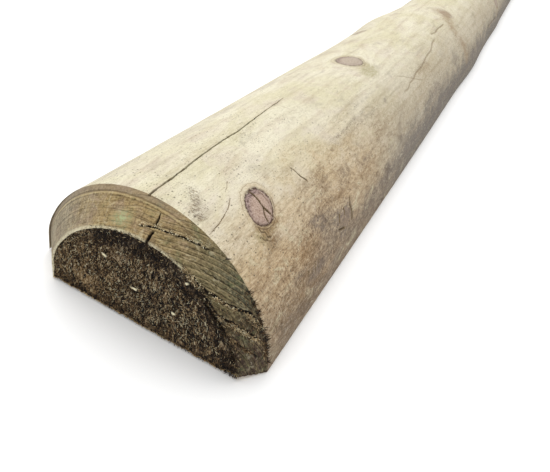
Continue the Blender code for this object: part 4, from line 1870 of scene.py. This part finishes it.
@dataclass
class TornFibres:
    """The fibres that the saw and the cutter left standing on the ends and at their edges."""

    shape: PoleShape = field(default_factory=PoleShape)
    near_face: int = 19000
    far_face: int = 2600
    ridge_count: int = 420
    inner_edge_count: int = 1100
    rim_count: int = 330
    lowest: float = 0.4
    chip_places: tuple[Triple, ...] = (
        (61.5, 36.8, 42.0), (117.0, 29.6, 118.0), (92.0, 19.0, 150.0), (52.0, 22.0, 20.0)
    )
    batch: int = 60
    seed: int = 41

    def build(self) -> bpy.types.Object:
        """Makes the finished piece.

        Returns:
            The fibres' object, at the origin.
        """
        chance = np.random.default_rng(self.seed)
        fibres = self.on_face(chance, self.near_face, 1.0) + self.on_face(chance, self.far_face, -1.0)
        for part in (self.on_rows, self.on_ridges, self.on_inner_edge, self.on_rim):
            fibres += part(chance)
        fibres += self.chips()
        mesh = bmesh.new()
        for start in range(0, len(fibres), self.batch):
            part = self.make_batch(fibres[start : start + self.batch])
            mesh.from_mesh(part)
            bpy.data.meshes.remove(part)
        data = keep_mesh("torn_fibres", mesh)
        data.shade_smooth()
        data.materials.append(FibreFinish().material())
        log.info("%d torn fibres", len(fibres))
        return add_object("torn_fibres", data)

    def make_batch(self, fibres: list[Fibre]) -> bpy.types.Mesh:
        """Makes some of the fibres, since a small mesh is quicker to add to.

        Args:
            fibres: The fibres.

        Returns:
            Their mesh.
        """
        mesh = bmesh.new()
        tint = mesh.verts.layers.float.new("tint")
        for fibre in fibres:
            self.add_fibre(mesh, tint, fibre)
        return keep_mesh("fibre_batch", mesh)

    def add_fibre(self, mesh: bmesh.types.BMesh, tint: bmesh.types.BMLayerItem, fibre: Fibre) -> None:
        """Adds one fibre, a thin cone, and keeps it within the solid's box.

        Args:
            mesh: The mesh to add to.
            tint: The layer of the fibres' shades.
            fibre: The fibre.
        """
        turn = fibre.heading.to_track_quat("Z", "Y").to_matrix().to_4x4()
        middle = self.in_frame(fibre.foot) + fibre.heading * fibre.length * 0.5 * MM
        made = bmesh.ops.create_cone(
            mesh,
            cap_ends=True,
            cap_tris=False,
            segments=3,
            radius1=fibre.thickness * 0.5 * MM,
            radius2=0.0,
            depth=fibre.length * MM,
            matrix=Matrix.Translation(middle) @ turn,
        )
        low, high = CAD_BOX
        for vert in made["verts"]:
            vert[tint] = fibre.tint
            for axis in range(3):
                vert.co[axis] = min(max(vert.co[axis], low[axis] + BOX_GAP), high[axis] - BOX_GAP)

    def in_frame(self, point: Vector) -> Vector:
        """A point on the pole, in millimetres, as a place in the log's frame in metres."""
        shape = self.shape
        bow = float(shape.bow_at(np.array(point.y)) + shape.tucked_at(np.array([point]))[0])
        return (point + Vector((bow - shape.bow / 2, -shape.length / 2, -shape.saw_loss))) * MM

    def end_point(self, angle: float, inward: float, side: float) -> Vector:
        """A point on a chamfer or end.

        Args:
            angle: Its angle in degrees.
            inward: 0 on the side, 1 on the end's rim and more within it.
            side: 1 for the near end and -1 for the far one.

        Returns:
            The point on the pole in millimetres.
        """
        shape = self.shape
        shifted = min(inward, 1.0)
        radius = shape.radius - shape.chamfer_depth * inward
        x = radius * math.cos(math.radians(angle)) + shape.end_off_centre[0] * shifted * side
        z = radius * math.sin(math.radians(angle)) + shape.end_off_centre[1] * shifted * side
        from_end = shape.chamfer_length * (1.0 - shifted) - shape.skew_at(shifted) * x
        return Vector((x, from_end if side > 0 else shape.length - from_end, z))

    def on_face(self, chance: np.random.Generator, count: int, side: float) -> list[Fibre]:
        """Fibres all over an end's face, lying nearly flat.

        Args:
            chance: The source of chance.
            count: How many places are tried.
            side: 1 for the near end and -1 for the far one.

        Returns:
            The fibres.
        """
        shape = self.shape
        fibres = []
        for _ in range(count):
            angle = chance.uniform(2.0, 178.0)
            radius = shape.end_radius * math.sqrt(chance.uniform(0.0, 1.0))
            inward = (shape.radius - radius) / shape.chamfer_depth
            foot = self.end_point(angle, inward, side)
            if foot.z < shape.saw_loss + self.lowest:
                continue
            foot.y += side * chance.uniform(0.75, 1.1)
            upright = chance.choice((-90.0, 90.0)) + chance.normal(0.0, 32.0)
            if angle < 50.0:
                upright = angle + chance.choice((-90.0, 90.0)) + chance.normal(0.0, 28.0)
            lean, lift = math.radians(upright), math.radians(chance.uniform(12.0, 50.0))
            flat = math.cos(lift)
            heading = Vector((math.cos(lean) * flat, -side * math.sin(lift), math.sin(lean) * flat))
            dark = inward < 1.7 + 0.3 * noise.noise((angle / 8.0, 0.0, side)) and angle < 122.0
            clump = 0.8 * noise.noise(foot / 0.9) + 0.2 * noise.noise(foot / 6.0)
            right = angle < 85.0
            tint = chance.beta(0.5 - 0.2 * right, 0.95 - 0.25 * right) * min(max(0.98 + clump, 0.3), 1.3)
            # Painted shade: fibres within about 5 mm of the end's lower edge are darker.
            tint *= min(1.0, 0.3 + 0.14 * (foot.z - shape.saw_loss))
            tint = chance.uniform(-0.05, 0.24) if dark and chance.uniform() < 0.8 else tint
            long = chance.uniform(0.5, 1.2 + 0.5 * (angle < 100.0))
            fibres.append(Fibre(foot, heading, long, chance.uniform(0.16, 0.42), tint))
        return fibres

    def chips(self) -> list[Fibre]:
        """A few pale chips that lie on the near end."""
        fibres = []
        for angle, radius, lean in self.chip_places:
            inward = (self.shape.radius - radius) / self.shape.chamfer_depth
            for shift in (-0.28, 0.0, 0.28):
                foot = self.end_point(angle, inward, 1.0) + pointing(lean + 90.0, 0.0) * shift
                foot.y += 0.15
                fibres.append(Fibre(foot, pointing(lean, -0.35), 2.4 + shift, 0.6, 1.0))
        return fibres

    def on_rows(self, chance: np.random.Generator) -> list[Fibre]:
        """Pale slivers and flakes along the splits between rings of the near chamfer.

        Args:
            chance: The source of chance.

        Returns:
            The fibres.
        """
        fibres = []
        for row in FLAKE_ROWS:
            angles, radii = (np.array(values)[::-1] for values in zip(*row.path))
            for _ in range(row.count):
                angle = chance.uniform(angles[0], angles[-1])
                crowd = noise.noise((angle / 3.1, row.offset * 9.0, 4.0)) + 0.35
                if chance.uniform() > crowd * 2.0:
                    continue
                radius = float(np.interp(angle, angles, radii)) + row.offset + chance.normal(0.0, 0.28)
                foot = self.place_on_chamfer(angle, radius)
                foot.y += 0.2
                lean = angle + chance.choice((180.0, 180.0, 0.0, -90.0)) + chance.normal(0.0, 34.0)
                heading = pointing(lean, -chance.uniform(0.2, 0.9))
                length = chance.uniform(0.4, 1.1 + 0.8 * chance.beta(1.0, 3.0))
                thickness, tint = chance.uniform(0.16, 0.42), chance.uniform(*row.tint)
                fibres.append(Fibre(foot, heading, length, thickness, tint))
        return fibres

    def on_ridges(self, chance: np.random.Generator) -> list[Fibre]:
        """Torn bits on the ridges of the near chamfer, low on the right.

        Args:
            chance: The source of chance.

        Returns:
            The fibres.
        """
        fibres = []
        for _ in range(self.ridge_count):
            angle = 14.0 + 34.0 * chance.beta(1.4, 1.6)
            radius = self.shape.radius - chance.uniform(0.4, 9.0)
            foot = self.place_on_chamfer(angle, radius)
            if foot.z < self.shape.saw_loss + self.lowest:
                continue
            along_ring = angle + chance.choice((-90.0, 90.0)) + chance.uniform(-35.0, 35.0)
            heading = pointing(along_ring, -chance.uniform(0.1, 0.7))
            tint = 0.8 * chance.beta(1.2, 2.2)
            fibres.append(Fibre(foot, heading, chance.uniform(0.5, 1.3), chance.uniform(0.15, 0.32), tint))
        return fibres

    def on_inner_edge(self, chance: np.random.Generator) -> list[Fibre]:
        """Dark hairs that lean out over the near chamfer's inner edge.

        Args:
            chance: The source of chance.

        Returns:
            The fibres.
        """
        fibres = []
        for _ in range(self.inner_edge_count):
            angle = 5.0 + 120.0 * chance.beta(1.0, 1.7)
            foot = self.end_point(angle, chance.normal(1.04, 0.07), 1.0)
            if foot.z < self.shape.saw_loss + self.lowest:
                continue
            foot.y += 0.3
            heading = pointing(angle + chance.normal(0.0, 50.0), -chance.uniform(0.3, 1.2))
            tint = chance.uniform(0.0, 0.25) if chance.uniform() < 0.85 else chance.uniform(0.5, 0.9)
            fibres.append(Fibre(foot, heading, chance.uniform(0.5, 1.4), chance.uniform(0.16, 0.34), tint))
        return fibres

    def on_rim(self, chance: np.random.Generator) -> list[Fibre]:
        """Dark tufts that stand out over the chamfer's outer edge, low on the right, and a few higher up.

        Args:
            chance: The source of chance.

        Returns:
            The fibres.
        """
        fibres = []
        for _ in range(self.rim_count):
            angle = 7.0 + 36.0 * chance.beta(1.4, 1.5)
            if noise.noise((angle / 1.3, 2.0, 7.0)) < chance.normal(0.0, 0.25):
                continue
            foot = self.end_point(angle, chance.uniform(-0.01, 0.14), 1.0)
            heading = pointing(angle + chance.uniform(-30.0, 60.0), chance.uniform(0.0, 1.0))
            length = chance.uniform(0.6, 2.4)
            fibres.append(Fibre(foot, heading, length, chance.uniform(0.2, 0.44), chance.uniform(0.0, 0.36)))
        splinter = self.end_point(56.0, 0.07, 1.0)
        for lift in (0.0, 0.12, -0.1):
            heading = Vector((0.89, 0.42, 0.18 + lift)).normalized()
            fibres.append(Fibre(splinter, heading, 2.2, 0.4, 0.05))
        return fibres

    def place_on_chamfer(self, angle: float, radius: float) -> Vector:
        """The point of the near chamfer at an angle and a distance from the centre, as seen along the pole.

        Args:
            angle: The angle in degrees.
            radius: The distance from the centre.

        Returns:
            The point on the pole in millimetres.
        """
        turned = math.radians(angle)
        seen = np.array([[radius * math.cos(turned), 0.0, radius * math.sin(turned)]])
        inward = float(self.shape.inward_at(seen)[0])
        along = self.shape.chamfer_length * (1.0 - inward) - self.shape.skew_at(inward) * seen[0, 0]
        return Vector((seen[0, 0], along, seen[0, 2]))


@dataclass(frozen=True)
class Studio:
    """A pale floor, soft light from above, and the camera close to the near end."""

    camera_place: Triple = (0.07606, -0.70694, 0.14159)
    camera_turn: Triple = (53.2216, -10.2731, 25.5149)
    sensor: float = 36.0
    focal_pixels: float = 534.36
    frame_pixels: float = 550.0
    floor_size: float = 8.0
    floor_gap: float = 0.0004
    floor_colour: Colour = (0.93, 0.93, 0.925)

    def build(self) -> None:
        """Sets up the floor, the lights, the sky and the camera."""
        self.add_floor()
        self.add_light("overhead", (-0.6, 0.1, 2.2), (0.0, -0.35, 0.0), 2.4, 42.0)
        self.add_light("front_fill", (-0.4, -2.4, 1.3), (0.0, -0.5, 0.03), 1.8, 14.0)
        self.light_sky()
        self.add_camera()
        bpy.context.scene.view_settings.view_transform = "Standard"

    def add_floor(self) -> None:
        """Lays the floor just under the log."""
        mesh = bmesh.new()
        bmesh.ops.create_grid(mesh, x_segments=1, y_segments=1, size=self.floor_size / 2)
        bmesh.ops.translate(mesh, verts=mesh.verts[:], vec=(0.0, 0.0, -self.floor_gap))
        data = keep_mesh("studio_floor", mesh)
        material, _, shader = new_material("studio_floor")
        shader.inputs["Base Color"].default_value = (*self.floor_colour, 1.0)
        shader.inputs["Roughness"].default_value = 0.9
        data.materials.append(material)
        add_object("studio_floor", data)

    def add_light(
        self,
        name: str,
        place: Triple,
        target: Triple,
        size: float,
        power: float,
    ) -> None:
        """Hangs a soft square light.

        Args:
            name: The light's name.
            place: Where it hangs.
            target: What it is aimed at.
            size: Its width.
            power: Its power in watts.
        """
        lamp = bpy.data.lights.new(name, "AREA")
        lamp.size = size
        lamp.energy = power
        light = add_object(name, lamp)
        light.location = place
        aim = Vector(target) - Vector(place)
        light.rotation_euler = aim.to_track_quat("-Z", "Y").to_euler()

    def light_sky(self) -> None:
        """Fills the room with even light."""
        world = bpy.data.worlds.new("studio")
        world.use_nodes = True
        sky = world.node_tree.nodes["Background"]
        sky.inputs["Color"].default_value = (1.0, 1.0, 1.0, 1.0)
        sky.inputs["Strength"].default_value = 0.7
        bpy.context.scene.world = world

    def add_camera(self) -> None:
        """Puts the camera close to the near end, looking along the log."""
        lens = bpy.data.cameras.new("camera")
        lens.sensor_fit = "HORIZONTAL"
        lens.sensor_width = self.sensor
        lens.lens = self.sensor * self.focal_pixels / self.frame_pixels
        lens.clip_start = 0.01
        camera = add_object("camera", lens)
        camera.location = self.camera_place
        camera.rotation_euler = [math.radians(turn) for turn in self.camera_turn]
        bpy.context.scene.camera = camera


def main() -> None:
    """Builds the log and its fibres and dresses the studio."""
    logging.basicConfig(level=logging.INFO, format="%(message)s")
    body = LogBody().build()
    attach(body, "root")
    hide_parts(LOG_NODE)
    log.info("%s: %d faces", body.name, len(body.data.polygons))
    fibres = TornFibres().build()
    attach(fibres, "root")
    log.info("%s: %d faces", fibres.name, len(fibres.data.polygons))
    Studio().build()


if __name__ == "__main__":
    main()
